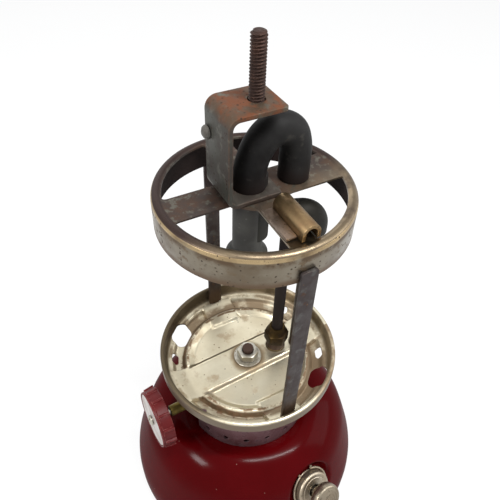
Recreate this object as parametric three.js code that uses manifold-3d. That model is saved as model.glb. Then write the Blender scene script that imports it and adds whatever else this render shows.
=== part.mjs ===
// A gasoline pressure lantern without its globe and ventilator, built as separate pieces.
// Millimetres, +Z up. The origin is the centre of the flat base. The two legs stand on -Y and +Y,
// the bracket and the return-bend tube lie along X, and the valve wheel points to -X.

import * as THREE from 'three';
import { mergeVertices } from 'three/addons/utils/BufferGeometryUtils.js';
import Module from 'manifold-3d';

const wasm = await Module();
wasm.setup();

// Clearances that every fit uses.
const GAP = 0.3; // between two pieces that seat on each other
const RUNNING = 0.5; // around a piece that turns or slides
const OVERRUN = 1; // how far a cutter reaches past what it cuts

// Facets around the large rings, the grips, the tubes and the small turned pieces.
const RING_SIDES = 36;
const COLLAR_SIDES = 54;
const GRIP_SIDES = 28;
const TUBE_SIDES = 16;
const SMALL_SIDES = 12;
const HOLE_SIDES = 6;
const THREAD_SIDES = 9;
const SHOULDER_STEPS = 10;
const BEND_STEPS = 20;

// Fount: the pressed tank that holds the fuel.
const FOUNT_RADIUS = 75;
const FOUNT_HEIGHT = 63;
const FOUNT_WALL = 1.2;
const COLLAR_RADIUS = 38;
const FOOT_HEIGHT = 9;
const FOOT_ROUND = 3;
const PAN_LIP = 4.5; // how far the pan's lip rises inside the shell
const TOP_LAND = 2.5; // flat seat under the collar
const TOP_DISH = 2.5; // how far the top inside the collar lies below that seat
// Shares of the way out from the collar to the widest radius, and of the way up from the foot.
const SHOULDER_SHARES = [
  [1, 0], [0.988, 0.078], [0.96, 0.169], [0.905, 0.297], [0.821, 0.482], [0.724, 0.667],
  [0.603, 0.793], [0.459, 0.888], [0.305, 0.953], [0.151, 0.989], [0, 1],
];

// Collar: the perforated band that carries the globe plate.
const COLLAR_HEIGHT = 38.2;
const COLLAR_SHEET = 0.9;
const VENT_COUNT = 19;
const VENT_RADIUS = 1.8;
const VENT_RISE = 7.7;
const VENT_PHASE = -117.6; // degrees
const STEM_NOTCH_WIDTH = 12.6;

// Globe plate: the pressed dish on which the globe stands.
const PLATE_OVERHANG = 13; // past the collar
const PLATE_SHEET = 0.9;
const RIM_RISE = 9.8;
const RIM_DROP = 6.6;
const RIM_WIDTH = 2.7;
const RIM_ROUND = 1.2;
const SEAT_DROP = 2.5; // seat over the collar, below the ledge on which the globe stands
const SEAT_OUTSET = 1.3; // where the seat turns up towards the ledge, out from the collar's radius
const LEDGE_OUTSET = 3; // where that rise ends
const BEAD_INSET = 3.2; // bead ring, in from the collar's radius
const BEAD_WIDTH = 3.6;
const BEAD_RISE = 0.6;
const FLOOR_INSET = 6.2;
const FLOOR_DROP = 1.7;
const BAND_WIDTH = 20;
const BAND_TURN = 2.5; // degrees, with the valve
const PAD_WIDTH = 17;
const PAD_REACH = 8.5; // from the collar's radius inwards
const SLOT_OUTSET = 5.1; // out from the collar's radius
const WIDE_SLOT = [15, 9.4]; // along and across
const WIDE_SLOT_TURN = -47; // degrees
const SMALL_SLOT = [7, 3.5];
const SMALL_SLOT_TURN = -24;
const DRAIN_RADIUS = 1.7;
const DRAIN_TURN = 28;

// Plate fastening.
const STUD_RADIUS = 3.175;
const STUD_STANDS_OUT = 2.4; // above its nut
const WASHER_RADIUS = 8.2;
const WASHER_THICK = 1;
const PLATE_NUT_FLATS = 11;
const PLATE_NUT_HEIGHT = 5;

// Legs: two flat straps from the plate to the top ring.
const LEG_WIDTH = 8;
const LEG_THICK = 1.5;
const LEG_OUTSET = 7.5; // foot, out from the collar's radius
const LEG_LAP = 6.2; // how far a leg laps the ring's skirt
const LEG_TAB_WIDTH = 5;
const LEG_TAB_DROP = 3.6;

// Top ring: the spoked cap.
const FRAME_HEIGHT = 125; // from the plate's ledge to the ring's bead
const RING_RADIUS = 44.7;
const RING_SKIRT = 16.5;
const RING_SHEET = 0.9;
const RING_BEAD = 2.6;
const RING_RIM_WIDTH = 4.6;
const SPOKE_SINK = 0.9; // spokes lie this far below the bead
const BURNER_SPOKE_WIDTH = 20; // the +X spoke
const WEB_SPOKE_WIDTH = 15.4; // the -X spoke
const WEB_SPOKE_SHIFT = 1.1; // towards +Y
const LEG_SPOKE_WIDTH = 12; // the spokes over the legs
const HUB_RADIUS = 15;

// Bracket over the burner.
const BRACKET_WIDTH = 21;
const BRACKET_HEIGHT = 41.3;
const BRACKET_THICK = 2;
const BRACKET_BACK = 17.8; // web's outer face from the centre
const BRACKET_DEPTH = 25.3;
const BRACKET_BEND = 5;
const BRACKET_SCREW_RISE = 27.5;
const BRACKET_SCREW_ACROSS = 7.4;
const BRACKET_SCREW_RADIUS = 1.6;
const BRACKET_SCREW_LENGTH = 9;
const BRACKET_SCREW_HEAD = 2.9;
const BRACKET_SCREW_HEAD_HEIGHT = 2.4;

// Ventilator stud, a quarter-inch screw of 20 threads to the inch.
const THREAD_RADIUS = 3.175;
const THREAD_PITCH = 1.27;
const THREAD_DEPTH = 0.7;
const THREAD_LENGTH = 25.2;
const THREAD_STUD_BACK = 0.9;
const THREAD_STUD_HEAD = 4.6;
const THREAD_STUD_HEAD_HEIGHT = 2;

// Return-bend tube, burner and air intake.
const TUBE_RADIUS = 7;
const TUBE_WALL = 1.2;
const BURNER_BACK = 3; // burner leg from the centre, towards -X
const GENERATOR_SHARE = 0.505; // generator leg from the centre, of the collar's radius, towards +X
const TUBE_HEADROOM = 6; // under the bracket's top flange
const BURNER_LEG_DROP = 4.4; // tube below the ring's sheet
// Shares of the way from leg to leg, and of the way up from the ring to the tube's crown.
const RETURN_SHARES = [
  [0, 0.12], [0.02, 0.4], [0.14, 0.71], [0.36, 0.94], [0.62, 1], [0.87, 0.88], [0.99, 0.6], [1, 0.3], [1, 0],
];
const BURNER_LENGTH = 38.4; // ring sheet's underside to the flare's mouth
const FLARE_RADIUS = 10;
const FLARE_HEIGHT = 6.5;
const FLARE_LIP = 3;
const NIPPLE_LENGTH = 7;
const SCREEN_THICK = 1;
const SCREEN_HOLE_RADIUS = 1;
const SCREEN_HOLE_COUNT = 6;
const CHAMBER_LENGTH = 26;
const ELBOW_DROP = 20.5; // elbow's axis below the ring's sheet
const ELBOW_BEND = 8;
const ELBOW_RADIUS = 6.5;
const ELBOW_TAIL = 4;
const AIR_TUBE_SHARE = 0.121; // its radius, of the collar's radius
const AIR_TUBE_WALL = 0.8;
const AIR_TUBE_TURN = -7.3; // degrees about +Z
const AIR_TUBE_LAP = 2; // inside the elbow
const AIR_TUBE_DROP = 1.2; // below the plate's floor

// Brass channel clipped on the front spoke.
const CHANNEL_SHEET = 0.9;
const CHANNEL_FLANGE = 5.2;
const CHANNEL_FLANGE_SHORT = 3.2; // flange stops this far before the rib
const CHANNEL_RIB_WIDTH = 8.6;
const CHANNEL_RIB_HEIGHT = 7;
const CHANNEL_RIB_WALL = 1.5;
const CHANNEL_START = 16.5;
const CHANNEL_END = 39.2;
const CHANNEL_OFFSET = 0.8;

// Generator.
const GENERATOR_RADIUS = 3.175;
const GENERATOR_BORE = 2.2;
const GENERATOR_NUT_FLATS = 12.5;
const GENERATOR_NUT_HEIGHT = 7.5;
const GENERATOR_CONE_HEIGHT = 4.5;
const GENERATOR_CONE_RADIUS = 4.7;
const GENERATOR_SOCKET = 3; // tube inside the outlet
const OUTLET_RISE = 6.3; // outlet above the seat
const GENERATOR_ENTRY = 1.5; // tube inside the mixing chamber
const TIP_RADIUS = 2.6;
const TIP_LENGTH = 6;
const TIP_BORE = 0.8;

// Valve.
const VALVE_TURN = 182.5; // degrees about +Z
const STEM_RISE = 19; // above the collar's base
const STEM_TILT = 1.9; // degrees
const VALVE_RADIUS = 9;
const VALVE_FLANGE_RADIUS = 11;
const VALVE_FLANGE_THICK = 2;
const SPIGOT_RADIUS = 7;
const SPIGOT_DROP = 6; // below the fount's top
const SHOULDER_RADIUS = 6.5;
const SHOULDER_HEIGHT = 4.5;
const ARM_RADIUS = 4.5;
const OUTLET_RADIUS = 5.5;
const ARM_DROP = 8; // arm's axis below the valve's top
const STEM_SOCKET_RADIUS = 5.2;
const STEM_SOCKET_REACH = 16;
const STEM_RADIUS = 2.2;
const STEM_SLEEVE_RADIUS = 3.2;
const STEM_START = 5;
const PACKING_NUT_FLATS = 10;
const PACKING_NUT_LENGTH = 7;
const FUEL_TUBE_RADIUS = 2.5;
const FUEL_TUBE_BORE = 1.5;
const FUEL_TUBE_SOCKET = 4;
const FUEL_TUBE_CLEAR = 3; // above the pan

// Valve wheel.
const WHEEL_REACH = 63.9; // front face from the centre
const WHEEL_THICK = 8.2;
const WHEEL_BACK_RADIUS = 17.6;
const WHEEL_FRONT_RADIUS = 16.6;
const WHEEL_WALL = 2;
const WHEEL_WEB = 2;
const WHEEL_HUB_RADIUS = 5.5;
const WHEEL_RIB_COUNT = 12;
const WHEEL_RIB_WIDTH = 1.3;
const WHEEL_RIB_PROUD = 0.8;
const WHEEL_RIB_BACK = 0.4;
const WHEEL_RIB_FRONT = 2;
const DISC_THICK = 0.6;
const DISC_SINK = 0.2;
const WHEEL_LIP = 0.9;
const WHEEL_SCREW_RADIUS = 1.4;
const WHEEL_SCREW_LENGTH = 5;
const WHEEL_SCREW_HEAD = 3;
const WHEEL_SCREW_HEAD_HEIGHT = 1.6;
const WHEEL_SCREW_SLOT = 0.8;

// Pump.
const PUMP_TURN = 280.6; // degrees about +Z
const PUMP_TILT = 30; // degrees, knob up
const BARREL_RADIUS = 8;
const BARREL_WALL = 0.9;
const BARREL_LENGTH = 51;
const BARREL_CLEAR = 2; // above the pan
const BARREL_FLANGE_RADIUS = 10;
const BARREL_FLANGE_THICK = 1;
const PUMP_SINK = 5; // seat below the fount's skin, along the pump
const PUMP_DISH_MARGIN = 3.2; // flat seat around the cap
const PUMP_DISH_FLARE = 0.45; // widening of the dish per millimetre outwards
const CAP_RADIUS = 11.5;
const CAP_LENGTH = 7;
const CAP_WALL = 1.1;
const CAP_BEVEL = 1.3;
const CAP_HOLE_RADIUS = 4;
const CLIP_WIRE_RADIUS = 0.75;
const CLIP_OPENING = 40; // degrees left open at the top
const CLIP_EAR = 2.4;
const CLIP_SET_BACK = 2.2; // from the cap's back
const KNOB_RADIUS = 9.6;
const KNOB_REACH = 20.2; // front of the knob from the seat
const KNOB_LENGTH = 11.4;
const KNOB_NECK_RADIUS = 4.4;
const KNOB_HOLD = 6; // rod inside the knob
// Shares of the knob's length and of its radius, from the neck to the front.
const KNOB_SHARES = [[0.15, 0.44], [0.3, 0.8], [0.42, 0.93], [0.78, 1], [0.9, 0.88], [1, 0.45], [1, 0]];
const ROD_RADIUS = 2.5;
const ROD_BORE = 1.6;
const PLUNGER_REST = 4.5; // leather's end from the barrel's floor
const LEATHER_LENGTH = 4;
const LEATHER_WALL = 1.2;
const AIR_STEM_RADIUS = 1.1;
const AIR_STEM_END_SHARE = 0.35; // in the knob's length
const CHECK_VALVE_RADIUS = 3.6;
const CHECK_VALVE_LENGTH = 5;
const CHECK_VALVE_SHANK = 2.6;
const CHECK_VALVE_BORE = 1.5;

// Filler.
const FILLER_TURN = 52; // degrees about +Z
const FILLER_TILT = 45; // degrees
const FILLER_DROP = 9; // below the fount's height
const BUNG_RADIUS = 10.5;
const BUNG_OUT = 3;
const BUNG_IN = 5;
const NECK_RADIUS = 8.3;
const NECK_BORE = 6.6;
const NECK_LENGTH = 10;
const FILLER_CAP_RADIUS = 12.5;
const FILLER_CAP_TOP = 1.8;
const FILLER_CAP_FLUTES = 20;
const FILLER_CAP_FLUTE_DEPTH = 0.7;
const GASKET_THICK = 1.2;

// Heights and radii that follow from the sizes above.
const PLATE_RADIUS = COLLAR_RADIUS + PLATE_OVERHANG;
const FILLER_RISE = FOUNT_HEIGHT - FILLER_DROP;
const GENERATOR_REACH = GENERATOR_SHARE * COLLAR_RADIUS;
const AIR_TUBE_RADIUS = AIR_TUBE_SHARE * COLLAR_RADIUS;
const AIR_TUBE_REACH = COLLAR_RADIUS - COLLAR_SHEET - GAP - AIR_TUBE_RADIUS;
const COLLAR_BASE = FOUNT_HEIGHT + GAP;
const COLLAR_TOP = COLLAR_BASE + COLLAR_HEIGHT;
const STEM_HEIGHT = COLLAR_BASE + STEM_RISE;
const SEAT = COLLAR_TOP + GAP + PLATE_SHEET;
const LEDGE = SEAT + SEAT_DROP;
const BAND_UNDERSIDE = SEAT - PLATE_SHEET;
const FLOOR_UNDERSIDE = BAND_UNDERSIDE - FLOOR_DROP;
const OUTLET_TOP = SEAT + OUTLET_RISE;
const RING_TOP = LEDGE + FRAME_HEIGHT;
const SPOKE_TOP = RING_TOP - SPOKE_SINK;
const SPOKE_UNDERSIDE = SPOKE_TOP - RING_SHEET;
const BRACKET_BASE = SPOKE_TOP + GAP;
const BRACKET_TOP = BRACKET_BASE + BRACKET_HEIGHT;
const TUBE_CROWN = BRACKET_TOP - BRACKET_THICK - TUBE_HEADROOM - TUBE_RADIUS;
const TUBE_BORE = TUBE_RADIUS - TUBE_WALL;
const NIPPLE_RADIUS = TUBE_BORE - GAP;
const BURNER_TOP = SPOKE_UNDERSIDE - BURNER_LEG_DROP - GAP;
const FLARE_MOUTH = SPOKE_UNDERSIDE - BURNER_LENGTH;
const FOUNT_TOP = FOUNT_HEIGHT - TOP_DISH;
const VALVE_TOP = BAND_UNDERSIDE - GAP;
const NECK_TOP = BUNG_OUT + NECK_LENGTH;

const CIRCLE = 2 * Math.PI;
const radians = (degrees) => degrees * CIRCLE / 360;
const point = (x, y) => new THREE.Vector2(x, y);
const AIR_TUBE_X = AIR_TUBE_REACH * Math.cos(radians(AIR_TUBE_TURN));
const AIR_TUBE_Y = AIR_TUBE_REACH * Math.sin(radians(AIR_TUBE_TURN));

// A closed geometry as a manifold solid, moved by a matrix where one is given.
function solidOf(geometry, matrix = new THREE.Matrix4()) {
  const bare = geometry.clone().applyMatrix4(matrix);
  bare.deleteAttribute('normal');
  bare.deleteAttribute('uv');
  const merged = mergeVertices(bare, OVERRUN / 1e4);
  const kept = [];
  const index = merged.index.array;
  for (let i = 0; i < index.length; i += 3) {
    const [a, b, c] = [index[i], index[i + 1], index[i + 2]];
    if (a !== b && b !== c && c !== a) kept.push(a, b, c);
  }
  return new wasm.Manifold(new wasm.Mesh({
    numProp: 3,
    vertProperties: merged.attributes.position.array,
    triVerts: new Uint32Array(kept),
  }));
}

function geometryOf(solid) {
  const mesh = solid.getMesh();
  const geometry = new THREE.BufferGeometry();
  geometry.setAttribute('position', new THREE.BufferAttribute(mesh.vertProperties, 3));
  geometry.setIndex(new THREE.BufferAttribute(mesh.triVerts, 1));
  geometry.computeVertexNormals();
  return geometry;
}

const join = (...solids) => solids.reduce((whole, next) => whole.add(next));
const cut = (solid, ...cutters) => cutters.reduce((whole, next) => whole.subtract(next), solid);

// A profile of [radius, height] points turned about +Z. It runs anticlockwise.
function revolve(profile, sides) {
  const geometry = new THREE.LatheGeometry(profile.map(([r, z]) => point(r, z)), sides);
  return geometry.rotateX(radians(90));
}

function closed(profile) {
  return [...profile, profile[0]];
}

// The same about +X, for pieces whose axis lies across.
const revolveAcross = (profile, sides) => revolve(profile, sides).rotateY(radians(90));

function rod(radius, from, to, sides) {
  return revolve([[0, from], [radius, from], [radius, to], [0, to]], sides);
}

const rodAcross = (radius, from, to, sides) => rod(radius, from, to, sides).rotateY(radians(90));

function sleeve(radius, bore, from, to, sides) {
  return revolve(closed([[bore, from], [radius, from], [radius, to], [bore, to]]), sides);
}

function block([x0, x1], [y0, y1], [z0, z1]) {
  const box = new THREE.BoxGeometry(x1 - x0, y1 - y0, z1 - z0);
  return box.translate((x0 + x1) / 2, (y0 + y1) / 2, (z0 + z1) / 2);
}

// A flat outline raised from one height to another.
function prism(outline, from, to, holes = []) {
  const shape = new THREE.Shape(outline);
  shape.holes.push(...holes.map((hole) => new THREE.Path(hole)));
  const geometry = new THREE.ExtrudeGeometry(shape, { depth: to - from, bevelEnabled: false });
  return geometry.translate(0, 0, from);
}

function polygon(radius, sides, phase = 0) {
  return Array.from({ length: sides }, (_, i) => {
    const turn = phase + CIRCLE * i / sides;
    return point(radius * Math.cos(turn), radius * Math.sin(turn));
  });
}

const hexagon = (flats) => polygon(flats / Math.sqrt(3), 6);

// A circle whose edge rises and falls, for grips.
function flutedCircle(radius, depth, flutes) {
  return Array.from({ length: 4 * flutes }, (_, i) => {
    const turn = CIRCLE * i / (4 * flutes);
    const r = radius - (i % 4 < 2 ? 0 : depth);
    return point(r * Math.cos(turn), r * Math.sin(turn));
  });
}

// A slot with round ends, length along X.
function slotOutline(length, width) {
  const shape = new THREE.Shape();
  const reach = (length - width) / 2;
  shape.absarc(reach, 0, width / 2, -CIRCLE / 4, CIRCLE / 4);
  shape.absarc(-reach, 0, width / 2, CIRCLE / 4, 3 * CIRCLE / 4);
  return shape.getPoints(5);
}

// A tube of round section along a curve. The bore may be left out.
function pipe(curve, radius, bore, steps, sides) {
  const shape = new THREE.Shape(polygon(radius, sides));
  if (bore) shape.holes.push(new THREE.Path(polygon(bore, sides)));
  return new THREE.ExtrudeGeometry(shape, { steps, extrudePath: curve, bevelEnabled: false });
}

// An open line of sheet metal given a thickness on its right hand, as a closed profile.
function thicken(line, sheet) {
  const offset = line.map((here, i) => {
    const before = line[Math.max(i - 1, 0)];
    const after = line[Math.min(i + 1, line.length - 1)];
    const unit = (a, b) => {
      const length = Math.hypot(b[0] - a[0], b[1] - a[1]);
      return length ? [(b[1] - a[1]) / length, -(b[0] - a[0]) / length] : null;
    };
    const n1 = unit(before, here) ?? unit(here, after);
    const n2 = unit(here, after) ?? n1;
    const share = sheet / (1 + n1[0] * n2[0] + n1[1] * n2[1]);
    return [here[0] + (n1[0] + n2[0]) * share, here[1] + (n1[1] + n2[1]) * share];
  });
  return [...offset, ...[...line].reverse()];
}

// A quarter round from one direction to another, as profile points.
function arc(centreR, centreZ, radius, fromDegrees, toDegrees, steps) {
  return Array.from({ length: steps + 1 }, (_, i) => {
    const turn = radians(fromDegrees + (toDegrees - fromDegrees) * i / steps);
    return [centreR + radius * Math.cos(turn), centreZ + radius * Math.sin(turn)];
  });
}

// The place and turn of a piece that leans out of the fount, its axis along its own +X.
function leaning(turn, tilt, radius, height) {
  const matrix = new THREE.Matrix4().makeRotationFromEuler(
    new THREE.Euler(0, -radians(tilt), radians(turn), 'ZYX'));
  const out = point(radius * Math.cos(radians(turn)), radius * Math.sin(radians(turn)));
  return matrix.setPosition(out.x, out.y, height);
}

function finish(color, roughness, metalness) {
  return new THREE.MeshStandardMaterial({ color, roughness, metalness });
}

const enamel = () => finish('#6b0f1c', 0.18, 0.1);
const agedNickel = () => finish('#a9a189', 0.32, 0.95);
const plateNickel = () => finish('#c9c0a4', 0.3, 0.95);
const stainedSteel = () => finish('#6d6455', 0.5, 0.85);
const darkSteel = () => finish('#352b2b', 0.55, 0.8);
const burntIron = () => finish('#232226', 0.6, 0.6);
const rustySteel = () => finish('#5a3f30', 0.75, 0.6);
const brass = () => finish('#8a6f3c', 0.4, 0.9);
const oldBrass = () => finish('#5c5222', 0.5, 0.85);
const zinc = () => finish('#9c978c', 0.4, 0.9);
const redPlastic = () => finish('#8c2b2e', 0.4, 0);
const leather = () => finish('#4a3020', 0.8, 0);
const rubber = () => finish('#1c1c1c', 0.8, 0);

function piece(name, shape, material) {
  const geometry = shape.isBufferGeometry ? shape : geometryOf(shape);
  const mesh = new THREE.Mesh(geometry, material);
  mesh.name = name;
  return mesh;
}

// The fount's outer line from the foot to the collar, as [radius, height] points.
function shoulderLine(samples) {
  const spread = FOUNT_RADIUS - COLLAR_RADIUS;
  const rise = FOUNT_HEIGHT - FOOT_HEIGHT - GAP;
  const curve = new THREE.SplineCurve(SHOULDER_SHARES.map(([out, up]) =>
    point(COLLAR_RADIUS + out * spread, FOOT_HEIGHT + GAP + up * rise)));
  return curve.getPoints(samples).map((p) => [p.x, p.y]);
}

// The fount's radius at a height, read off its own line.
function fountRadiusAt(height) {
  const line = shoulderLine(SHOULDER_STEPS * SHOULDER_STEPS);
  const i = Math.max(1, line.findIndex(([, z]) => z >= height));
  const [[r0, z0], [r1, z1]] = [line[i - 1], line[i]];
  return r0 + (r1 - r0) * (height - z0) / (z1 - z0);
}

const BARREL_FALL = BARREL_LENGTH * Math.sin(radians(PUMP_TILT)) + BARREL_RADIUS * Math.cos(radians(PUMP_TILT));
const PUMP_SEAT_HEIGHT = FOUNT_WALL + BARREL_CLEAR + BARREL_FALL;
const PUMP_SKIN_RADIUS = fountRadiusAt(PUMP_SEAT_HEIGHT + PUMP_SINK * Math.sin(radians(PUMP_TILT)));
const PUMP_PLACE = leaning(PUMP_TURN, PUMP_TILT,
  PUMP_SKIN_RADIUS - PUMP_SINK * Math.cos(radians(PUMP_TILT)), PUMP_SEAT_HEIGHT);
const FILLER_PLACE = leaning(FILLER_TURN, FILLER_TILT, fountRadiusAt(FILLER_RISE), FILLER_RISE);
const VALVE_PLACE = leaning(VALVE_TURN, STEM_TILT, 0, STEM_HEIGHT);

function fountShell() {
  const base = FOOT_HEIGHT + GAP;
  const skin = [
    ...shoulderLine(SHOULDER_STEPS),
    [COLLAR_RADIUS - TOP_LAND, FOUNT_HEIGHT],
    [COLLAR_RADIUS - TOP_LAND - TOP_DISH, FOUNT_TOP],
    [0, FOUNT_TOP],
  ];
  const lining = thicken([...skin].reverse(), FOUNT_WALL).slice(0, skin.length).reverse();
  const outside = solidOf(revolve([[0, base], ...skin], RING_SIDES));
  const inside = solidOf(revolve([[0, base - OVERRUN], [lining[0][0], base - OVERRUN], ...lining], RING_SIDES));
  return cut(outside, pumpDish(0), cut(inside, pumpDish(FOUNT_WALL)),
    solidOf(rodAcross(BARREL_RADIUS + GAP, -2 * BARREL_FLANGE_RADIUS, OVERRUN, TUBE_SIDES), PUMP_PLACE),
    solidOf(rodAcross(BUNG_RADIUS + GAP, -2 * BUNG_RADIUS, 2 * BUNG_RADIUS, TUBE_SIDES), FILLER_PLACE),
    solidOf(rod(SPIGOT_RADIUS + GAP, FOUNT_TOP - 2 * FOUNT_WALL, FOUNT_TOP + OVERRUN, TUBE_SIDES)));
}

// The flat-bottomed dish that sinks the pump's seat into the shoulder, grown by the wall behind it.
function pumpDish(grown) {
  const seat = CAP_RADIUS + PUMP_DISH_MARGIN + grown;
  const depth = 3 * CAP_RADIUS;
  return solidOf(revolveAcross([
    [0, -grown], [seat, -grown], [seat + depth * PUMP_DISH_FLARE, depth], [0, depth],
  ], GRIP_SIDES), PUMP_PLACE);
}

function fountPan() {
  const lip = fountRadiusAt(FOOT_HEIGHT + PAN_LIP) - FOUNT_WALL - GAP;
  const line = [
    [lip, FOOT_HEIGHT + PAN_LIP],
    [lip, FOOT_HEIGHT],
    [FOUNT_RADIUS, FOOT_HEIGHT],
    ...arc(FOUNT_RADIUS - FOOT_ROUND, FOOT_ROUND, FOOT_ROUND, 0, -90, 2),
    [0, 0],
  ];
  const pan = thicken(line, FOUNT_WALL);
  return revolve([...pan.slice(line.length), ...pan.slice(0, line.length)], RING_SIDES);
}

function fillerNeck() {
  return revolveAcross(closed([
    [NECK_BORE, -BUNG_IN], [BUNG_RADIUS, -BUNG_IN], [BUNG_RADIUS, BUNG_OUT],
    [NECK_RADIUS, BUNG_OUT], [NECK_RADIUS, NECK_TOP], [NECK_BORE, NECK_TOP],
  ]), TUBE_SIDES);
}

function fillerGasket() {
  return sleeve(NECK_RADIUS, NECK_BORE, NECK_TOP + GAP, NECK_TOP + GAP + GASKET_THICK, TUBE_SIDES)
    .rotateY(radians(90));
}

function fillerCap() {
  const base = BUNG_OUT + GAP;
  const ceiling = NECK_TOP + 2 * GAP + GASKET_THICK;
  const grip = prism(flutedCircle(FILLER_CAP_RADIUS, FILLER_CAP_FLUTE_DEPTH, FILLER_CAP_FLUTES),
    base, ceiling + FILLER_CAP_TOP);
  const bore = rod(NECK_RADIUS + RUNNING, base - OVERRUN, ceiling, TUBE_SIDES);
  return geometryOf(cut(solidOf(grip), solidOf(bore))).rotateY(radians(90));
}

function collar() {
  const band = solidOf(sleeve(COLLAR_RADIUS, COLLAR_RADIUS - COLLAR_SHEET,
    COLLAR_BASE, COLLAR_TOP, COLLAR_SIDES));
  const notchAngle = STEM_NOTCH_WIDTH / COLLAR_RADIUS;
  const vents = [];
  for (let i = 0; i < VENT_COUNT; i += 1) {
    const turn = radians(VENT_PHASE) + CIRCLE * i / VENT_COUNT;
    const apart = turn - radians(VALVE_TURN);
    const fromNotch = Math.abs(Math.atan2(Math.sin(apart), Math.cos(apart)));
    if (fromNotch < notchAngle) continue;
    const vent = rodAcross(VENT_RADIUS, COLLAR_RADIUS - 3 * COLLAR_SHEET, COLLAR_RADIUS + OVERRUN, HOLE_SIDES);
    vents.push(solidOf(vent.rotateZ(turn).translate(0, 0, COLLAR_BASE + VENT_RISE)));
  }
  return cut(band, ...vents, ...stemNotch());
}

// The slot through which the valve stem leaves, open at the collar's foot.
function stemNotch() {
  const near = COLLAR_RADIUS - 3 * COLLAR_SHEET;
  const far = COLLAR_RADIUS + OVERRUN;
  const half = STEM_NOTCH_WIDTH / 2;
  const centre = STEM_HEIGHT + COLLAR_RADIUS * Math.sin(radians(STEM_TILT));
  const slot = block([near, far], [-half, half], [COLLAR_BASE - OVERRUN, centre]);
  const crown = rodAcross(half, near, far, SMALL_SIDES).translate(0, 0, centre);
  return [slot, crown].map((cutter) => solidOf(cutter.rotateZ(radians(VALVE_TURN))));
}

function globePlate() {
  const floor = COLLAR_RADIUS - FLOOR_INSET;
  const bead = COLLAR_RADIUS - BEAD_INSET;
  const wall = PLATE_RADIUS - RIM_WIDTH;
  const top = LEDGE + RIM_RISE;
  const line = [
    [PLATE_RADIUS, top - RIM_DROP],
    ...arc(PLATE_RADIUS - RIM_ROUND, top - RIM_ROUND, RIM_ROUND, 0, 90, 1),
    ...arc(wall + RIM_ROUND, top - RIM_ROUND, RIM_ROUND, 90, 180, 1),
    [wall, LEDGE + RIM_ROUND],
    [wall - RIM_ROUND, LEDGE],
    [COLLAR_RADIUS + LEDGE_OUTSET, LEDGE],
    [COLLAR_RADIUS + SEAT_OUTSET, SEAT],
    [bead + BEAD_WIDTH / 2, SEAT],
    [bead + BEAD_WIDTH / 4, SEAT + BEAD_RISE],
    [bead - BEAD_WIDTH / 4, SEAT + BEAD_RISE],
    [floor + FLOOR_DROP / 2, SEAT - FLOOR_DROP],
    [0, SEAT - FLOOR_DROP],
  ];
  const dish = solidOf(revolve(thicken([...line].reverse(), PLATE_SHEET), RING_SIDES));
  const whole = join(dish, bandShell(), ...[1, -1].map(padShell));
  return cut(whole, bandHollow(), ...[1, -1].map(padHollow), ...plateHoles());
}

function bandShell() {
  const reach = COLLAR_RADIUS - BEAD_INSET;
  const half = BAND_WIDTH / 2;
  return solidOf(block([-reach, reach], [-half, half], [FLOOR_UNDERSIDE, SEAT]).rotateZ(radians(BAND_TURN)));
}

function bandHollow() {
  const reach = COLLAR_RADIUS - BEAD_INSET - BEAD_WIDTH / 2;
  const half = BAND_WIDTH / 2 - PLATE_SHEET;
  return solidOf(block([-reach, reach], [-half, half], [FLOOR_UNDERSIDE - OVERRUN, BAND_UNDERSIDE])
    .rotateZ(radians(BAND_TURN)));
}

function padShell(side) {
  const half = PAD_WIDTH / 2;
  const reach = [COLLAR_RADIUS - PAD_REACH, COLLAR_RADIUS - BEAD_INSET];
  const shell = block([-half, half], reach, [FLOOR_UNDERSIDE, SEAT]);
  return solidOf(side > 0 ? shell : shell.rotateZ(radians(180)));
}

function padHollow(side) {
  const half = PAD_WIDTH / 2 - PLATE_SHEET;
  const reach = [COLLAR_RADIUS - PAD_REACH + PLATE_SHEET, COLLAR_RADIUS - BEAD_INSET - BEAD_WIDTH / 2];
  const hollow = block([-half, half], reach, [FLOOR_UNDERSIDE - OVERRUN, BAND_UNDERSIDE]);
  return solidOf(side > 0 ? hollow : hollow.rotateZ(radians(180)));
}

// Every hole through the plate: slots, drains, leg slots and the holes for what stands on it.
function plateHoles() {
  const from = FLOOR_UNDERSIDE - OVERRUN;
  const to = LEDGE + OVERRUN;
  const slotRadius = COLLAR_RADIUS + SLOT_OUTSET;
  const across = ([length, width], turn, radius) =>
    solidOf(prism(slotOutline(length, width), from, to)
      .rotateZ(radians(90)).translate(radius, 0, 0).rotateZ(radians(turn)));
  const cutters = [];
  for (const half of [0, 180]) {
    cutters.push(across(WIDE_SLOT, WIDE_SLOT_TURN + half, slotRadius));
    cutters.push(across(SMALL_SLOT, SMALL_SLOT_TURN + half, slotRadius));
    cutters.push(solidOf(rod(DRAIN_RADIUS, from, to, SMALL_SIDES).translate(slotRadius, 0, 0)
      .rotateZ(radians(DRAIN_TURN + half))));
    const tab = legTabSize().map((size) => size / 2 + GAP);
    cutters.push(solidOf(block([-tab[0], tab[0]], [-tab[1], tab[1]], [from, to])
      .translate(0, COLLAR_RADIUS + LEG_OUTSET, 0).rotateZ(radians(180 + half))));
  }
  cutters.push(solidOf(rod(STUD_RADIUS + GAP, from, to, SMALL_SIDES)));
  cutters.push(solidOf(rod(OUTLET_RADIUS + GAP, from, to, TUBE_SIDES).translate(GENERATOR_REACH, 0, 0)));
  cutters.push(solidOf(rod(AIR_TUBE_RADIUS + GAP, from, to, TUBE_SIDES).translate(AIR_TUBE_X, AIR_TUBE_Y, 0)));
  return cutters;
}

const legTabSize = () => [LEG_TAB_WIDTH, LEG_THICK];

function plateWasher() {
  return sleeve(WASHER_RADIUS, STUD_RADIUS + GAP, SEAT + GAP, SEAT + GAP + WASHER_THICK, TUBE_SIDES);
}

function hexNut(flats, bore, from, to) {
  return prism(hexagon(flats), from, to, [polygon(bore, SMALL_SIDES)]);
}

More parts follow.
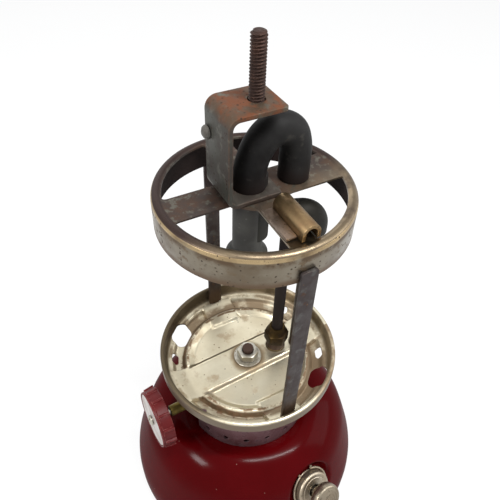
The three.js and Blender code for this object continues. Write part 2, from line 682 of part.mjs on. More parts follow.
function plateNut() {
  const base = SEAT + 2 * GAP + WASHER_THICK;
  return hexNut(PLATE_NUT_FLATS, STUD_RADIUS + GAP, base, base + PLATE_NUT_HEIGHT);
}

// A leg on the -Y side: it leans from its slot in the plate to the outside of the ring's skirt.
function leg() {
  const foot = COLLAR_RADIUS + LEG_OUTSET;
  const top = RING_RADIUS + GAP + LEG_THICK / 2;
  const skirt = RING_TOP - RING_SKIRT;
  const half = LEG_THICK / 2;
  const side = (near) => [
    point(foot + near * half, LEDGE + GAP),
    point(top + near * half, skirt - GAP),
    point(top + near * half, skirt + LEG_LAP),
  ];
  const strap = prism([...side(1), ...side(-1).reverse()], -LEG_WIDTH / 2, LEG_WIDTH / 2);
  // The outline's axes are (outwards, up); stand it up along -Y.
  const stood = strap.rotateX(radians(90)).rotateZ(radians(-90));
  const [width, thick] = legTabSize();
  const tab = block([-width / 2, width / 2], [-foot - thick / 2, -foot + thick / 2],
    [LEDGE - PLATE_SHEET - LEG_TAB_DROP, LEDGE + GAP + thick]);
  return geometryOf(join(solidOf(stood), solidOf(tab)));
}

function topRing() {
  const rim = RING_RADIUS - RING_RIM_WIDTH;
  const line = [
    [0, SPOKE_TOP],
    [rim, SPOKE_TOP],
    ...arc(RING_RADIUS - RING_BEAD, RING_TOP - RING_BEAD, RING_BEAD, 110, 0, 5),
    [RING_RADIUS, RING_TOP - RING_SKIRT],
  ];
  const cap = solidOf(revolve(thicken(line, RING_SHEET), RING_SIDES));
  const from = SPOKE_UNDERSIDE - OVERRUN;
  const to = SPOKE_TOP + OVERRUN;
  const open = solidOf(rod(rim, from, to, RING_SIDES));
  const hub = solidOf(rod(HUB_RADIUS, from, to, TUBE_SIDES));
  const legs = solidOf(block([-LEG_SPOKE_WIDTH / 2, LEG_SPOKE_WIDTH / 2],
    [-rim - OVERRUN, rim + OVERRUN], [from, to]));
  const web = solidOf(block([-rim - OVERRUN, 0], [-WEB_SPOKE_WIDTH / 2, WEB_SPOKE_WIDTH / 2], [from, to])
    .translate(0, WEB_SPOKE_SHIFT, 0));
  const burner = solidOf(block([0, rim + OVERRUN],
    [-BURNER_SPOKE_WIDTH / 2, BURNER_SPOKE_WIDTH / 2], [from, to]));
  const openings = cut(open, hub, legs, web, burner);
  const burnerHole = solidOf(rod(TUBE_RADIUS + GAP, from, to, TUBE_SIDES).translate(-BURNER_BACK, 0, 0));
  const nippleHole = solidOf(rod(NIPPLE_RADIUS + GAP, from, to, TUBE_SIDES).translate(GENERATOR_REACH, 0, 0));
  return cut(cap, openings, burnerHole, nippleHole);
}

function bracket() {
  const back = -BRACKET_BACK;
  const front = back + BRACKET_DEPTH;
  const inner = BRACKET_BEND - BRACKET_THICK;
  const shape = new THREE.Shape();
  shape.moveTo(front, BRACKET_BASE);
  shape.lineTo(front, BRACKET_BASE + BRACKET_THICK);
  shape.absarc(back + BRACKET_BEND, BRACKET_BASE + BRACKET_BEND, inner, -CIRCLE / 4, -CIRCLE / 2, true);
  shape.absarc(back + BRACKET_BEND, BRACKET_TOP - BRACKET_BEND, inner, CIRCLE / 2, CIRCLE / 4, true);
  shape.lineTo(front, BRACKET_TOP - BRACKET_THICK);
  shape.lineTo(front, BRACKET_TOP);
  shape.absarc(back + BRACKET_BEND, BRACKET_TOP - BRACKET_BEND, BRACKET_BEND, CIRCLE / 4, CIRCLE / 2);
  shape.absarc(back + BRACKET_BEND, BRACKET_BASE + BRACKET_BEND, BRACKET_BEND, CIRCLE / 2, 3 * CIRCLE / 4);
  const strap = prism(shape.getPoints(5), -BRACKET_WIDTH / 2, BRACKET_WIDTH / 2).rotateX(radians(90));
  return cut(solidOf(strap),
    solidOf(rod(TUBE_RADIUS + GAP, BRACKET_BASE - OVERRUN, BRACKET_BASE + BRACKET_THICK + OVERRUN, TUBE_SIDES)
      .translate(-BURNER_BACK, 0, 0)),
    solidOf(rod(THREAD_RADIUS + GAP, BRACKET_TOP - BRACKET_THICK - OVERRUN, BRACKET_TOP + OVERRUN, SMALL_SIDES)
      .translate(-THREAD_STUD_BACK, 0, 0)),
    solidOf(rodAcross(BRACKET_SCREW_RADIUS + GAP, back - OVERRUN, back + BRACKET_THICK + OVERRUN, SMALL_SIDES)
      .translate(0, BRACKET_SCREW_ACROSS, BRACKET_BASE + BRACKET_SCREW_RISE)));
}

function bracketScrew() {
  const face = -BRACKET_BACK - GAP;
  return revolveAcross([
    [0, face - BRACKET_SCREW_HEAD_HEIGHT],
    [BRACKET_SCREW_HEAD / 2, face - BRACKET_SCREW_HEAD_HEIGHT],
    [BRACKET_SCREW_HEAD, face - BRACKET_SCREW_HEAD_HEIGHT / 2],
    [BRACKET_SCREW_HEAD, face],
    [BRACKET_SCREW_RADIUS, face],
    [BRACKET_SCREW_RADIUS, face + BRACKET_SCREW_LENGTH],
    [0, face + BRACKET_SCREW_LENGTH],
  ], SMALL_SIDES).translate(0, BRACKET_SCREW_ACROSS, BRACKET_BASE + BRACKET_SCREW_RISE);
}

function bracketNut() {
  const inside = -BRACKET_BACK + BRACKET_THICK + GAP;
  return hexNut(2 * BRACKET_SCREW_HEAD, BRACKET_SCREW_RADIUS + GAP, inside, inside + BRACKET_SCREW_HEAD_HEIGHT)
    .rotateY(radians(90)).translate(0, BRACKET_SCREW_ACROSS, BRACKET_BASE + BRACKET_SCREW_RISE);
}

// A screw with a true helical thread: a cylinder whose rows are pushed in and out along the helix.
function screwThread(radius, depth, pitch, from, to, sides) {
  const rows = Math.round(3 * (to - from) / pitch);
  const geometry = new THREE.CylinderGeometry(radius, radius, to - from, sides, rows);
  geometry.rotateX(radians(90)).translate(0, 0, (from + to) / 2);
  const place = geometry.attributes.position;
  for (let i = 0; i < place.count; i += 1) {
    const [x, y, z] = [place.getX(i), place.getY(i), place.getZ(i)];
    const out = Math.hypot(x, y);
    if (out < radius / 2) continue;
    const phase = CIRCLE * (z - from) / pitch - Math.atan2(y, x);
    const r = radius - depth * (1 - Math.cos(phase)) / 2;
    place.setXY(i, x * r / out, y * r / out);
  }
  return geometry;
}

function ventilatorStud() {
  const underside = BRACKET_TOP - BRACKET_THICK - GAP;
  const root = THREAD_RADIUS - THREAD_DEPTH;
  const head = solidOf(rod(THREAD_STUD_HEAD, underside - THREAD_STUD_HEAD_HEIGHT, underside, TUBE_SIDES));
  const shank = solidOf(rod(root, underside - THREAD_STUD_HEAD_HEIGHT / 2,
    BRACKET_TOP + THREAD_PITCH, SMALL_SIDES));
  const thread = solidOf(screwThread(THREAD_RADIUS, THREAD_DEPTH, THREAD_PITCH,
    BRACKET_TOP, BRACKET_TOP + THREAD_LENGTH, THREAD_SIDES));
  return geometryOf(join(head, shank, thread)).translate(-THREAD_STUD_BACK, 0, 0);
}

// The tube's middle line: up from the burner, over, and down to the mixing chamber's nipple.
function returnRun() {
  const span = BURNER_BACK + GENERATOR_REACH;
  const base = SPOKE_TOP + GAP;
  const line = RETURN_SHARES.map(([along, up]) =>
    new THREE.Vector3(-BURNER_BACK + along * span, 0, base + up * (TUBE_CROWN - base)));
  line.unshift(new THREE.Vector3(-BURNER_BACK, 0, BURNER_TOP + GAP));
  return new THREE.CatmullRomCurve3(line);
}

function returnTube() {
  return pipe(returnRun(), TUBE_RADIUS, TUBE_BORE, BEND_STEPS, TUBE_SIDES);
}

function burnerTube() {
  const top = BURNER_TOP;
  const bore = NIPPLE_RADIUS - TUBE_WALL;
  const seat = FLARE_RADIUS - TUBE_WALL;
  return revolve(closed([
    [seat, FLARE_MOUTH],
    [FLARE_RADIUS, FLARE_MOUTH],
    [FLARE_RADIUS, FLARE_MOUTH + FLARE_LIP],
    [TUBE_RADIUS, FLARE_MOUTH + FLARE_HEIGHT],
    [TUBE_RADIUS, top],
    [NIPPLE_RADIUS, top],
    [NIPPLE_RADIUS, top + NIPPLE_LENGTH],
    [bore, top + NIPPLE_LENGTH],
    [bore, FLARE_MOUTH + FLARE_HEIGHT],
    [seat, FLARE_MOUTH + FLARE_LIP],
  ]), TUBE_SIDES).translate(-BURNER_BACK, 0, 0);
}

function burnerScreen() {
  const radius = FLARE_RADIUS - TUBE_WALL - GAP;
  const holes = Array.from({ length: SCREEN_HOLE_COUNT }, (_, i) => {
    const turn = CIRCLE * i / SCREEN_HOLE_COUNT;
    return polygon(SCREEN_HOLE_RADIUS, HOLE_SIDES).map((p) =>
      point(p.x + radius / 2 * Math.cos(turn), p.y + radius / 2 * Math.sin(turn)));
  });
  const base = FLARE_MOUTH + GAP;
  const middle = polygon(SCREEN_HOLE_RADIUS, HOLE_SIDES);
  return prism(polygon(radius, TUBE_SIDES), base, base + SCREEN_THICK, [middle, ...holes])
    .translate(-BURNER_BACK, 0, 0);
}

// The elbow's run: out of the mixing chamber, round, and down over the air tube.
class ElbowRun extends THREE.Curve {
  constructor(reach, height, tail) {
    super();
    Object.assign(this, { reach, height, tail });
  }

  getPoint(share) {
    const flat = this.reach - ELBOW_BEND;
    const bend = ELBOW_BEND * CIRCLE / 4;
    const along = share * (flat + bend + this.tail);
    if (along < flat) return new THREE.Vector3(along, 0, this.height);
    if (along > flat + bend) {
      return new THREE.Vector3(this.reach, 0, this.height - ELBOW_BEND - (along - flat - bend));
    }
    const turn = (along - flat) / ELBOW_BEND;
    return new THREE.Vector3(flat + ELBOW_BEND * Math.sin(turn), 0, this.height - ELBOW_BEND * (1 - Math.cos(turn)));
  }
}

const ELBOW_BORE = AIR_TUBE_RADIUS + GAP;
const ELBOW_HEIGHT = SPOKE_UNDERSIDE - ELBOW_DROP;

function mixingElbow() {
  const top = SPOKE_UNDERSIDE - GAP;
  const bottom = top - CHAMBER_LENGTH;
  const out = new THREE.Vector2(AIR_TUBE_X - GENERATOR_REACH, AIR_TUBE_Y);
  const turned = new THREE.Matrix4().makeRotationZ(out.angle()).setPosition(GENERATOR_REACH, 0, 0);
  const nipple = top + GAP + RING_SHEET + NIPPLE_LENGTH;
  const standing = (radius, from, to) => solidOf(rod(radius, from, to, TUBE_SIDES).translate(GENERATOR_REACH, 0, 0));
  const run = (radius, tail) =>
    solidOf(pipe(new ElbowRun(out.length(), ELBOW_HEIGHT, tail), radius, 0, BEND_STEPS / 2, TUBE_SIDES), turned);
  return cut(
    join(standing(TUBE_RADIUS, bottom, top), standing(NIPPLE_RADIUS, top - OVERRUN, nipple),
      run(ELBOW_RADIUS, ELBOW_TAIL)),
    standing(NIPPLE_RADIUS - TUBE_WALL, bottom - OVERRUN, nipple + OVERRUN),
    run(ELBOW_BORE, ELBOW_TAIL + OVERRUN));
}

function airTube() {
  const top = ELBOW_HEIGHT - ELBOW_BEND - ELBOW_TAIL + AIR_TUBE_LAP;
  return sleeve(AIR_TUBE_RADIUS, AIR_TUBE_RADIUS - AIR_TUBE_WALL, FLOOR_UNDERSIDE - AIR_TUBE_DROP, top, TUBE_SIDES)
    .translate(AIR_TUBE_X, AIR_TUBE_Y, 0);
}

// A strip with a flat flange and a round-backed hollow rib, lying on the front spoke.
function spokeChannel() {
  const base = SPOKE_TOP + GAP;
  const outer = CHANNEL_RIB_WIDTH / 2;
  const inner = outer - CHANNEL_RIB_WALL;
  const centre = outer - CHANNEL_OFFSET;
  const crown = base + CHANNEL_RIB_HEIGHT - outer;
  const shape = new THREE.Shape();
  shape.moveTo(centre - outer, base);
  shape.lineTo(centre - inner, base);
  shape.absarc(centre, crown, inner, CIRCLE / 2, 0, true);
  shape.lineTo(centre + inner, base);
  shape.lineTo(centre + outer, base);
  shape.absarc(centre, crown, outer, 0, CIRCLE / 2);
  const rib = prism(shape.getPoints(6), CHANNEL_START, CHANNEL_END).rotateX(radians(90));
  const flange = block([-CHANNEL_OFFSET - CHANNEL_FLANGE, CHANNEL_RIB_WALL / 2 - CHANNEL_OFFSET],
    [CHANNEL_FLANGE_SHORT - CHANNEL_END, -CHANNEL_START], [base, base + CHANNEL_SHEET]);
  return join(solidOf(rib), solidOf(flange));
}

function generatorTube() {
  const from = OUTLET_TOP + GAP - GENERATOR_SOCKET;
  const to = SPOKE_UNDERSIDE - GAP - CHAMBER_LENGTH + GENERATOR_ENTRY;
  return sleeve(GENERATOR_RADIUS, GENERATOR_BORE, from, to, SMALL_SIDES).translate(GENERATOR_REACH, 0, 0);
}

function generatorTip() {
  const from = SPOKE_UNDERSIDE - GAP - CHAMBER_LENGTH + GENERATOR_ENTRY + GAP;
  return revolve(closed([
    [TIP_BORE, from], [TIP_RADIUS, from], [TIP_RADIUS, from + TIP_LENGTH / 2],
    [TIP_RADIUS / 2, from + TIP_LENGTH], [TIP_BORE, from + TIP_LENGTH],
  ]), SMALL_SIDES).translate(GENERATOR_REACH, 0, 0);
}

function generatorNut() {
  const base = OUTLET_TOP + GAP;
  const waist = base + GENERATOR_NUT_HEIGHT;
  const bore = GENERATOR_RADIUS + GAP;
  const hex = solidOf(hexNut(GENERATOR_NUT_FLATS, bore, base, waist));
  const cone = solidOf(revolve(closed([
    [bore, waist - OVERRUN], [GENERATOR_NUT_FLATS / 2, waist - OVERRUN], [GENERATOR_NUT_FLATS / 2, waist],
    [GENERATOR_CONE_RADIUS, waist + GENERATOR_CONE_HEIGHT], [bore, waist + GENERATOR_CONE_HEIGHT],
  ]), SMALL_SIDES));
  return geometryOf(join(hex, cone)).translate(GENERATOR_REACH, 0, 0);
}

// The brass block on the fount's top: spigot, plate shoulder and stud, stem socket, arm and outlet.
function valveBody() {
  const foot = FOUNT_TOP + GAP;
  const arm = VALVE_TOP - ARM_DROP;
  const solids = [
    rod(SPIGOT_RADIUS, FOUNT_TOP - SPIGOT_DROP, foot + OVERRUN, TUBE_SIDES),
    rod(VALVE_FLANGE_RADIUS, foot, foot + VALVE_FLANGE_THICK, TUBE_SIDES),
    rod(VALVE_RADIUS, foot, VALVE_TOP - SHOULDER_HEIGHT, TUBE_SIDES),
    rod(SHOULDER_RADIUS, foot, VALVE_TOP, TUBE_SIDES),
    rod(STUD_RADIUS, foot, SEAT + 2 * GAP + WASHER_THICK + PLATE_NUT_HEIGHT + STUD_STANDS_OUT, SMALL_SIDES),
    rodAcross(ARM_RADIUS, 0, GENERATOR_REACH, SMALL_SIDES).translate(0, 0, arm),
    rod(OUTLET_RADIUS, arm - ARM_RADIUS, OUTLET_TOP, TUBE_SIDES).translate(GENERATOR_REACH, 0, 0),
  ].map((geometry) => solidOf(geometry));
  const socket = solidOf(rodAcross(STEM_SOCKET_RADIUS, 0, STEM_SOCKET_REACH, TUBE_SIDES), VALVE_PLACE);
  const spigot = FOUNT_TOP - SPIGOT_DROP;
  return cut(join(...solids, socket),
    solidOf(rodAcross(STEM_RADIUS + RUNNING, STEM_START - OVERRUN, STEM_SOCKET_REACH + OVERRUN, SMALL_SIDES),
      VALVE_PLACE),
    solidOf(rod(FUEL_TUBE_RADIUS + GAP, spigot - OVERRUN, spigot + FUEL_TUBE_SOCKET, SMALL_SIDES)),
    solidOf(rod(GENERATOR_RADIUS + GAP, OUTLET_TOP - GENERATOR_SOCKET, OUTLET_TOP + OVERRUN, SMALL_SIDES)
      .translate(GENERATOR_REACH, 0, 0)));
}

function fuelTube() {
  const top = FOUNT_TOP - SPIGOT_DROP + FUEL_TUBE_SOCKET - GAP;
  return sleeve(FUEL_TUBE_RADIUS, FUEL_TUBE_BORE, FOUNT_WALL + FUEL_TUBE_CLEAR, top, SMALL_SIDES);
}

const WHEEL_BACK = WHEEL_REACH - WHEEL_THICK;
const DISC_FACE = WHEEL_REACH - DISC_SINK;
const DISC_BACK = DISC_FACE - DISC_THICK;
const WEB_FACE = DISC_BACK - GAP;
const STEM_END = WEB_FACE - WHEEL_WEB - GAP;

function packingNut() {
  const base = STEM_SOCKET_REACH + GAP;
  return hexNut(PACKING_NUT_FLATS, STEM_RADIUS + RUNNING, base, base + PACKING_NUT_LENGTH).rotateY(radians(90));
}

function valveStem() {
  const sleeveStart = STEM_SOCKET_REACH + 2 * GAP + PACKING_NUT_LENGTH;
  return revolveAcross([
    [0, STEM_START],
    [STEM_RADIUS, STEM_START + STEM_RADIUS],
    [STEM_RADIUS, sleeveStart],
    [STEM_SLEEVE_RADIUS, sleeveStart],
    [STEM_SLEEVE_RADIUS, STEM_END],
    [WHEEL_SCREW_RADIUS + GAP, STEM_END],
    [WHEEL_SCREW_RADIUS + GAP, STEM_END - WHEEL_SCREW_LENGTH],
    [0, STEM_END - WHEEL_SCREW_LENGTH],
  ], SMALL_SIDES);
}

function valveWheel() {
  const lip = WHEEL_FRONT_RADIUS - WHEEL_LIP;
  const bore = STEM_SLEEVE_RADIUS + GAP;
  const body = solidOf(revolve(closed([
    [bore, WHEEL_BACK],
    [WHEEL_HUB_RADIUS, WHEEL_BACK],
    [WHEEL_HUB_RADIUS, WEB_FACE - WHEEL_WEB],
    [WHEEL_FRONT_RADIUS - WHEEL_WALL, WEB_FACE - WHEEL_WEB],
    [WHEEL_BACK_RADIUS - WHEEL_WALL, WHEEL_BACK],
    [WHEEL_BACK_RADIUS, WHEEL_BACK],
    [WHEEL_FRONT_RADIUS, WHEEL_REACH],
    [lip, WHEEL_REACH],
    [lip, WEB_FACE],
    [WHEEL_SCREW_RADIUS + GAP, WEB_FACE],
    [WHEEL_SCREW_RADIUS + GAP, WEB_FACE - WHEEL_WEB],
    [bore, WEB_FACE - WHEEL_WEB],
  ]), GRIP_SIDES));
  const ribs = Array.from({ length: WHEEL_RIB_COUNT }, (_, i) => solidOf(wheelRib()
    .rotateZ(CIRCLE * i / WHEEL_RIB_COUNT)));
  return geometryOf(join(body, ...ribs)).rotateY(radians(90));
}

// One raised rib along the wheel's sloping edge.
function wheelRib() {
  const slope = (WHEEL_BACK_RADIUS - WHEEL_FRONT_RADIUS) / WHEEL_THICK;
  const from = WHEEL_BACK + WHEEL_RIB_BACK;
  const to = WHEEL_REACH - WHEEL_RIB_FRONT;
  const edge = (z) => WHEEL_BACK_RADIUS - (z - WHEEL_BACK) * slope;
  const outline = [
    point(from, edge(from) - WHEEL_WALL / 2), point(to, edge(to) - WHEEL_WALL / 2),
    point(to, edge(to) + WHEEL_RIB_PROUD / 2), point(from, edge(from) + WHEEL_RIB_PROUD),
  ];
  return prism(outline, -WHEEL_RIB_WIDTH / 2, WHEEL_RIB_WIDTH / 2).rotateY(radians(-90)).rotateZ(radians(90));
}

function wheelDisc() {
  return sleeve(WHEEL_FRONT_RADIUS - WHEEL_LIP - GAP, WHEEL_SCREW_RADIUS + GAP, DISC_BACK, DISC_FACE, GRIP_SIDES)
    .rotateY(radians(90));
}

function wheelScrew() {
  const face = DISC_FACE + GAP;
  const solid = solidOf(revolve([
    [0, STEM_END - WHEEL_SCREW_LENGTH + 2 * GAP],
    [WHEEL_SCREW_RADIUS, STEM_END - WHEEL_SCREW_LENGTH + 2 * GAP],
    [WHEEL_SCREW_RADIUS, face],
    [WHEEL_SCREW_HEAD, face],
    [WHEEL_SCREW_HEAD, face + WHEEL_SCREW_HEAD_HEIGHT / 2],
    [WHEEL_SCREW_HEAD / 2, face + WHEEL_SCREW_HEAD_HEIGHT],
    [0, face + WHEEL_SCREW_HEAD_HEIGHT],
  ], TUBE_SIDES));
  const slot = solidOf(block([-WHEEL_SCREW_HEAD, WHEEL_SCREW_HEAD], [-WHEEL_SCREW_SLOT / 2, WHEEL_SCREW_SLOT / 2],
    [face + WHEEL_SCREW_HEAD_HEIGHT / 2, face + WHEEL_SCREW_HEAD_HEIGHT + OVERRUN]));
  return geometryOf(cut(solid, slot)).rotateY(radians(90));
}

const BARREL_END = BARREL_FLANGE_THICK - BARREL_LENGTH;
const BARREL_FLOOR = BARREL_END + BARREL_WALL;
const PISTON = BARREL_RADIUS - BARREL_WALL - GAP;

function pumpBarrel() {
  const port = CHECK_VALVE_SHANK + GAP;
  return revolveAcross(closed([
    [port, BARREL_END],
    [BARREL_RADIUS, BARREL_END],
    [BARREL_RADIUS, GAP],
    [BARREL_FLANGE_RADIUS, GAP],
    [BARREL_FLANGE_RADIUS, GAP + BARREL_FLANGE_THICK],
    [BARREL_RADIUS - BARREL_WALL, GAP + BARREL_FLANGE_THICK],
    [BARREL_RADIUS - BARREL_WALL, BARREL_FLOOR],
    [port, BARREL_FLOOR],
  ]), TUBE_SIDES);
}

function pumpCap() {
  return revolveAcross(closed([
    [CAP_RADIUS - CAP_WALL, GAP],
    [CAP_RADIUS, GAP],
    [CAP_RADIUS, CAP_LENGTH - CAP_BEVEL],
    [CAP_RADIUS - CAP_BEVEL, CAP_LENGTH],
    [CAP_HOLE_RADIUS, CAP_LENGTH],
    [CAP_HOLE_RADIUS, CAP_LENGTH - CAP_WALL],
    [CAP_RADIUS - CAP_WALL - CAP_BEVEL, CAP_LENGTH - CAP_WALL],
    [CAP_RADIUS - CAP_WALL, CAP_LENGTH - CAP_WALL - CAP_BEVEL],
  ]), GRIP_SIDES);
}

// The open wire ring around the cap's foot, with its two ends turned out at the top.
class ClipRun extends THREE.Curve {
  getPoint(share) {
    const ring = CAP_RADIUS + GAP + CLIP_WIRE_RADIUS;
    const half = radians(CLIP_OPENING / 2);
    const ear = CLIP_EAR / (CLIP_EAR * 2 + ring * (CIRCLE - 2 * half));
    const turn = half + (CIRCLE - 2 * half) * THREE.MathUtils.clamp((share - ear) / (1 - 2 * ear), 0, 1);
    const out = ring + CLIP_EAR * Math.max(0, (ear - share) / ear, (share - 1 + ear) / ear);
    return new THREE.Vector3(CLIP_SET_BACK, out * Math.sin(turn), out * Math.cos(turn));
  }
}

function pumpClip() {
  return pipe(new ClipRun(), CLIP_WIRE_RADIUS, 0, 3 * BEND_STEPS / 2, HOLE_SIDES);
}

const KNOB_BACK = KNOB_REACH - KNOB_LENGTH;
const ROD_END = BARREL_FLOOR + PLUNGER_REST;

function plungerRod() {
  const front = KNOB_BACK + KNOB_HOLD;
  const leatherFront = ROD_END + CAP_WALL + GAP + LEATHER_LENGTH;
  return revolveAcross(closed([
    [ROD_BORE, ROD_END],
    [PISTON - LEATHER_WALL - GAP, ROD_END],
    [PISTON - LEATHER_WALL - GAP, ROD_END + CAP_WALL],
    [ROD_RADIUS, ROD_END + CAP_WALL],
    [ROD_RADIUS, leatherFront + GAP],
    [PISTON - LEATHER_WALL, leatherFront + GAP],
    [PISTON - LEATHER_WALL, leatherFront + GAP + CAP_WALL],
    [ROD_RADIUS, leatherFront + GAP + CAP_WALL],
    [ROD_RADIUS, front],
    [ROD_BORE, front],
  ]), TUBE_SIDES);
}

// The cup leather: a disc on the rod with a skirt towards the barrel's floor.
function plungerLeather() {
  const disc = ROD_END + CAP_WALL + GAP;
  return revolveAcross(closed([
    [ROD_RADIUS + GAP, disc],
    [PISTON - LEATHER_WALL, disc],
    [PISTON - LEATHER_WALL, ROD_END],
    [PISTON, ROD_END],
    [PISTON, disc + LEATHER_LENGTH],
    [ROD_RADIUS + GAP, disc + LEATHER_LENGTH],
  ]), TUBE_SIDES);
}

function pumpKnob() {
  const hole = ROD_RADIUS + GAP;
  const holdEnd = KNOB_BACK + KNOB_HOLD + GAP;
  const body = solidOf(revolve([
    [0, KNOB_BACK],
    [KNOB_NECK_RADIUS, KNOB_BACK],
    ...KNOB_SHARES.map(([along, out]) => [KNOB_RADIUS * out, KNOB_BACK + KNOB_LENGTH * along]),
  ], GRIP_SIDES));
  const rodHole = solidOf(rod(hole, KNOB_BACK - OVERRUN, holdEnd, SMALL_SIDES));
  return geometryOf(cut(body, rodHole)).rotateY(radians(90));
}

function airStem() {
  const front = KNOB_BACK + KNOB_LENGTH * AIR_STEM_END_SHARE;
  return rodAcross(AIR_STEM_RADIUS, BARREL_END, front, SMALL_SIDES);
}

function checkValve() {
  const face = BARREL_END - GAP;
  const hex = solidOf(hexNut(2 * CHECK_VALVE_RADIUS, CHECK_VALVE_BORE, face - CHECK_VALVE_LENGTH, face));
  const shank = solidOf(sleeve(CHECK_VALVE_SHANK, CHECK_VALVE_BORE, face - OVERRUN, BARREL_FLOOR, SMALL_SIDES));
  return geometryOf(join(hex, shank)).rotateY(radians(90));
}

// A group whose own +X is the axis of what it carries.
function leaningGroup(matrix, ...pieces) {
  const group = new THREE.Group();
  group.applyMatrix4(matrix);
  group.add(...pieces);
  return group;
}

function backLeg() {
  const mesh = piece('leg_back', leg(), darkSteel());
  mesh.rotation.z = radians(180);
  return mesh;
}

const lantern = new THREE.Group();
lantern.add(
  piece('fount_shell', fountShell(), enamel()),
  piece('fount_pan', fountPan(), enamel()),
  piece('collar', collar(), agedNickel()),
  piece('globe_plate', globePlate(), plateNickel()),
  piece('plate_washer', plateWasher(), zinc()),
  piece('plate_nut', plateNut(), zinc()),
  piece('leg_front', leg(), darkSteel()),
  backLeg(),
  piece('top_ring', topRing(), stainedSteel()),
  piece('bracket', bracket(), stainedSteel()),
  piece('bracket_screw', bracketScrew(), rustySteel()),
  piece('bracket_nut', bracketNut(), rustySteel()),
  piece('ventilator_stud', ventilatorStud(), rustySteel()),
  piece('return_tube', returnTube(), burntIron()),
  piece('burner_tube', burnerTube(), burntIron()),
  piece('burner_screen', burnerScreen(), stainedSteel()),
  piece('mixing_elbow', mixingElbow(), burntIron()),
  piece('air_tube', airTube(), darkSteel()),
  piece('spoke_channel', spokeChannel(), brass()),
  piece('generator_tube', generatorTube(), burntIron()),
  piece('generator_tip', generatorTip(), brass()),
  piece('generator_nut', generatorNut(), oldBrass()),
  piece('valve_body', valveBody(), brass()),
  piece('fuel_tube', fuelTube(), brass()),
  leaningGroup(VALVE_PLACE,
    piece('packing_nut', packingNut(), oldBrass()),
    piece('valve_stem', valveStem(), oldBrass()),
    piece('valve_wheel', valveWheel(), redPlastic()),
    piece('wheel_disc', wheelDisc(), zinc()),
    piece('wheel_screw', wheelScrew(), zinc())),
  leaningGroup(PUMP_PLACE,
    piece('pump_barrel', pumpBarrel(), brass()),
    piece('pump_cap', pumpCap(), agedNickel()),
    piece('pump_clip', pumpClip(), agedNickel()),
    piece('plunger_rod', plungerRod(), agedNickel()),
    piece('plunger_leather', plungerLeather(), leather()),
    piece('pump_knob', pumpKnob(), agedNickel()),
    piece('air_stem', airStem(), brass()),
    piece('check_valve', checkValve(), brass())),
  leaningGroup(FILLER_PLACE,
    piece('filler_neck', fillerNeck(), brass()),
    piece('filler_gasket', fillerGasket(), rubber()),
    piece('filler_cap', fillerCap(), agedNickel())),
);

export default lantern;
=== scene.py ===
import bpy
import math
from mathutils import Matrix, Vector


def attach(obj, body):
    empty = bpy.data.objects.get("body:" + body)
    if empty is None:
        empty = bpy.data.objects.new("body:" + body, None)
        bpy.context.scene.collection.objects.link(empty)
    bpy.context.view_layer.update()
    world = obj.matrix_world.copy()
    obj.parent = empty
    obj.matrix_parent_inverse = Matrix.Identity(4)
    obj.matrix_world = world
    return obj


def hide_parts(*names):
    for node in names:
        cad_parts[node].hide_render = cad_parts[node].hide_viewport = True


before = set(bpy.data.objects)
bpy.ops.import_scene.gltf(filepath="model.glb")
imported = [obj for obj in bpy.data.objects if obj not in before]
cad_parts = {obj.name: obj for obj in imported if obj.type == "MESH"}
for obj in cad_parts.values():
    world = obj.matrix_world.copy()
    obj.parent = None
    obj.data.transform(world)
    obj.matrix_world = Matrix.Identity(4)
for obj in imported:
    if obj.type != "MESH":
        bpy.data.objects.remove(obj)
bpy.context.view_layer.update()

MM = 0.001
GAP = 0.3
TURN = 2 * math.pi
A_HAIR = 0.01 * MM
WELD = 0.002 * MM

# Heights of the lantern, in millimetres above the table.
FOOT = 9.0
FOUNT_TOP = 63.0
CROWN = 60.5
COLLAR_LOW = 63.3
VENT_ROW = 71.0
NOTCH_TOP = 83.56
COLLAR_HIGH = 101.5
LEDGE = 105.2
PLATE_SKIRT = 108.4
OUTLET_TOP = 109.0
PLATE_RIM = 115.0
FLARE_MOUTH = 190.0
SPOKE_BELOW = 228.4
SPOKE = 229.3
BRACKET_LOW = 229.6
RING_TOP = 230.2
RING_SKIRT = RING_TOP - 16.5
CHAMBER_FOOT = SPOKE_BELOW - GAP - 26
ELBOW_AXIS = SPOKE_BELOW - 20.5
ELBOW_BEND = 8.0
BRACKET_HIGH = 270.9
STUD_TIP = 296.1

# Radii and places of the pieces that others line up with.
FOUNT_R = 75.0
COLLAR_R = 38.0
PLATE_R = 51.0
RING_R = 44.7
RING_EYE = 40.1
TUBE_R = 7.0
STUD_HOLE_R = 3.475
OUTLET_HOLE_R = 5.8
BURNER_X = -3.0
GENERATOR_X = 19.19
AIR_X = 31.94
AIR_Y = -4.09
AIR_R = 4.6
STUD_X = -0.9
NOTCH_TURN = 182.5

# From where to where a cutter reaches, so that it goes right through the plate or the ring.
PLATE_CUT = (99, 111)
RING_CUT = (227, 231)

# The plate's pressing: each form's rise or drop, and where its slopes start and end.
PRESSED_R = 45.0
BAND_TURN = 2.5
FLOOR_DROP, FLOOR_EDGE = 2.5, (36.8, 45.6)
PANEL_DROP, PANEL_SIDE, PANEL_END = 1.6, (8.9, 11.5), (31.2, 34.6)
PAD_X, PAD_Y, PAD_SLOPE = 8.2, 30.4, (0.0, 2.4)
LINE_RISE, LINE, LINE_END = 0.12, (7.8, 8.4, 8.4, 9.0), (31.5, 33.0)
BEAD_RISE, BEAD, BEAD_SIDE, BEAD_PAD = 0.7, (33.6, 35.2, 36.0, 37.2), (10.4, 11.4), (8.2, 9.1)
TRENCH_DROP, TRENCH, TRENCH_SIDE, TRENCH_PAD = 2.7, (37.2, 39.3, 42.6, 45.0), (10.6, 11.4), (9.6, 10.2)

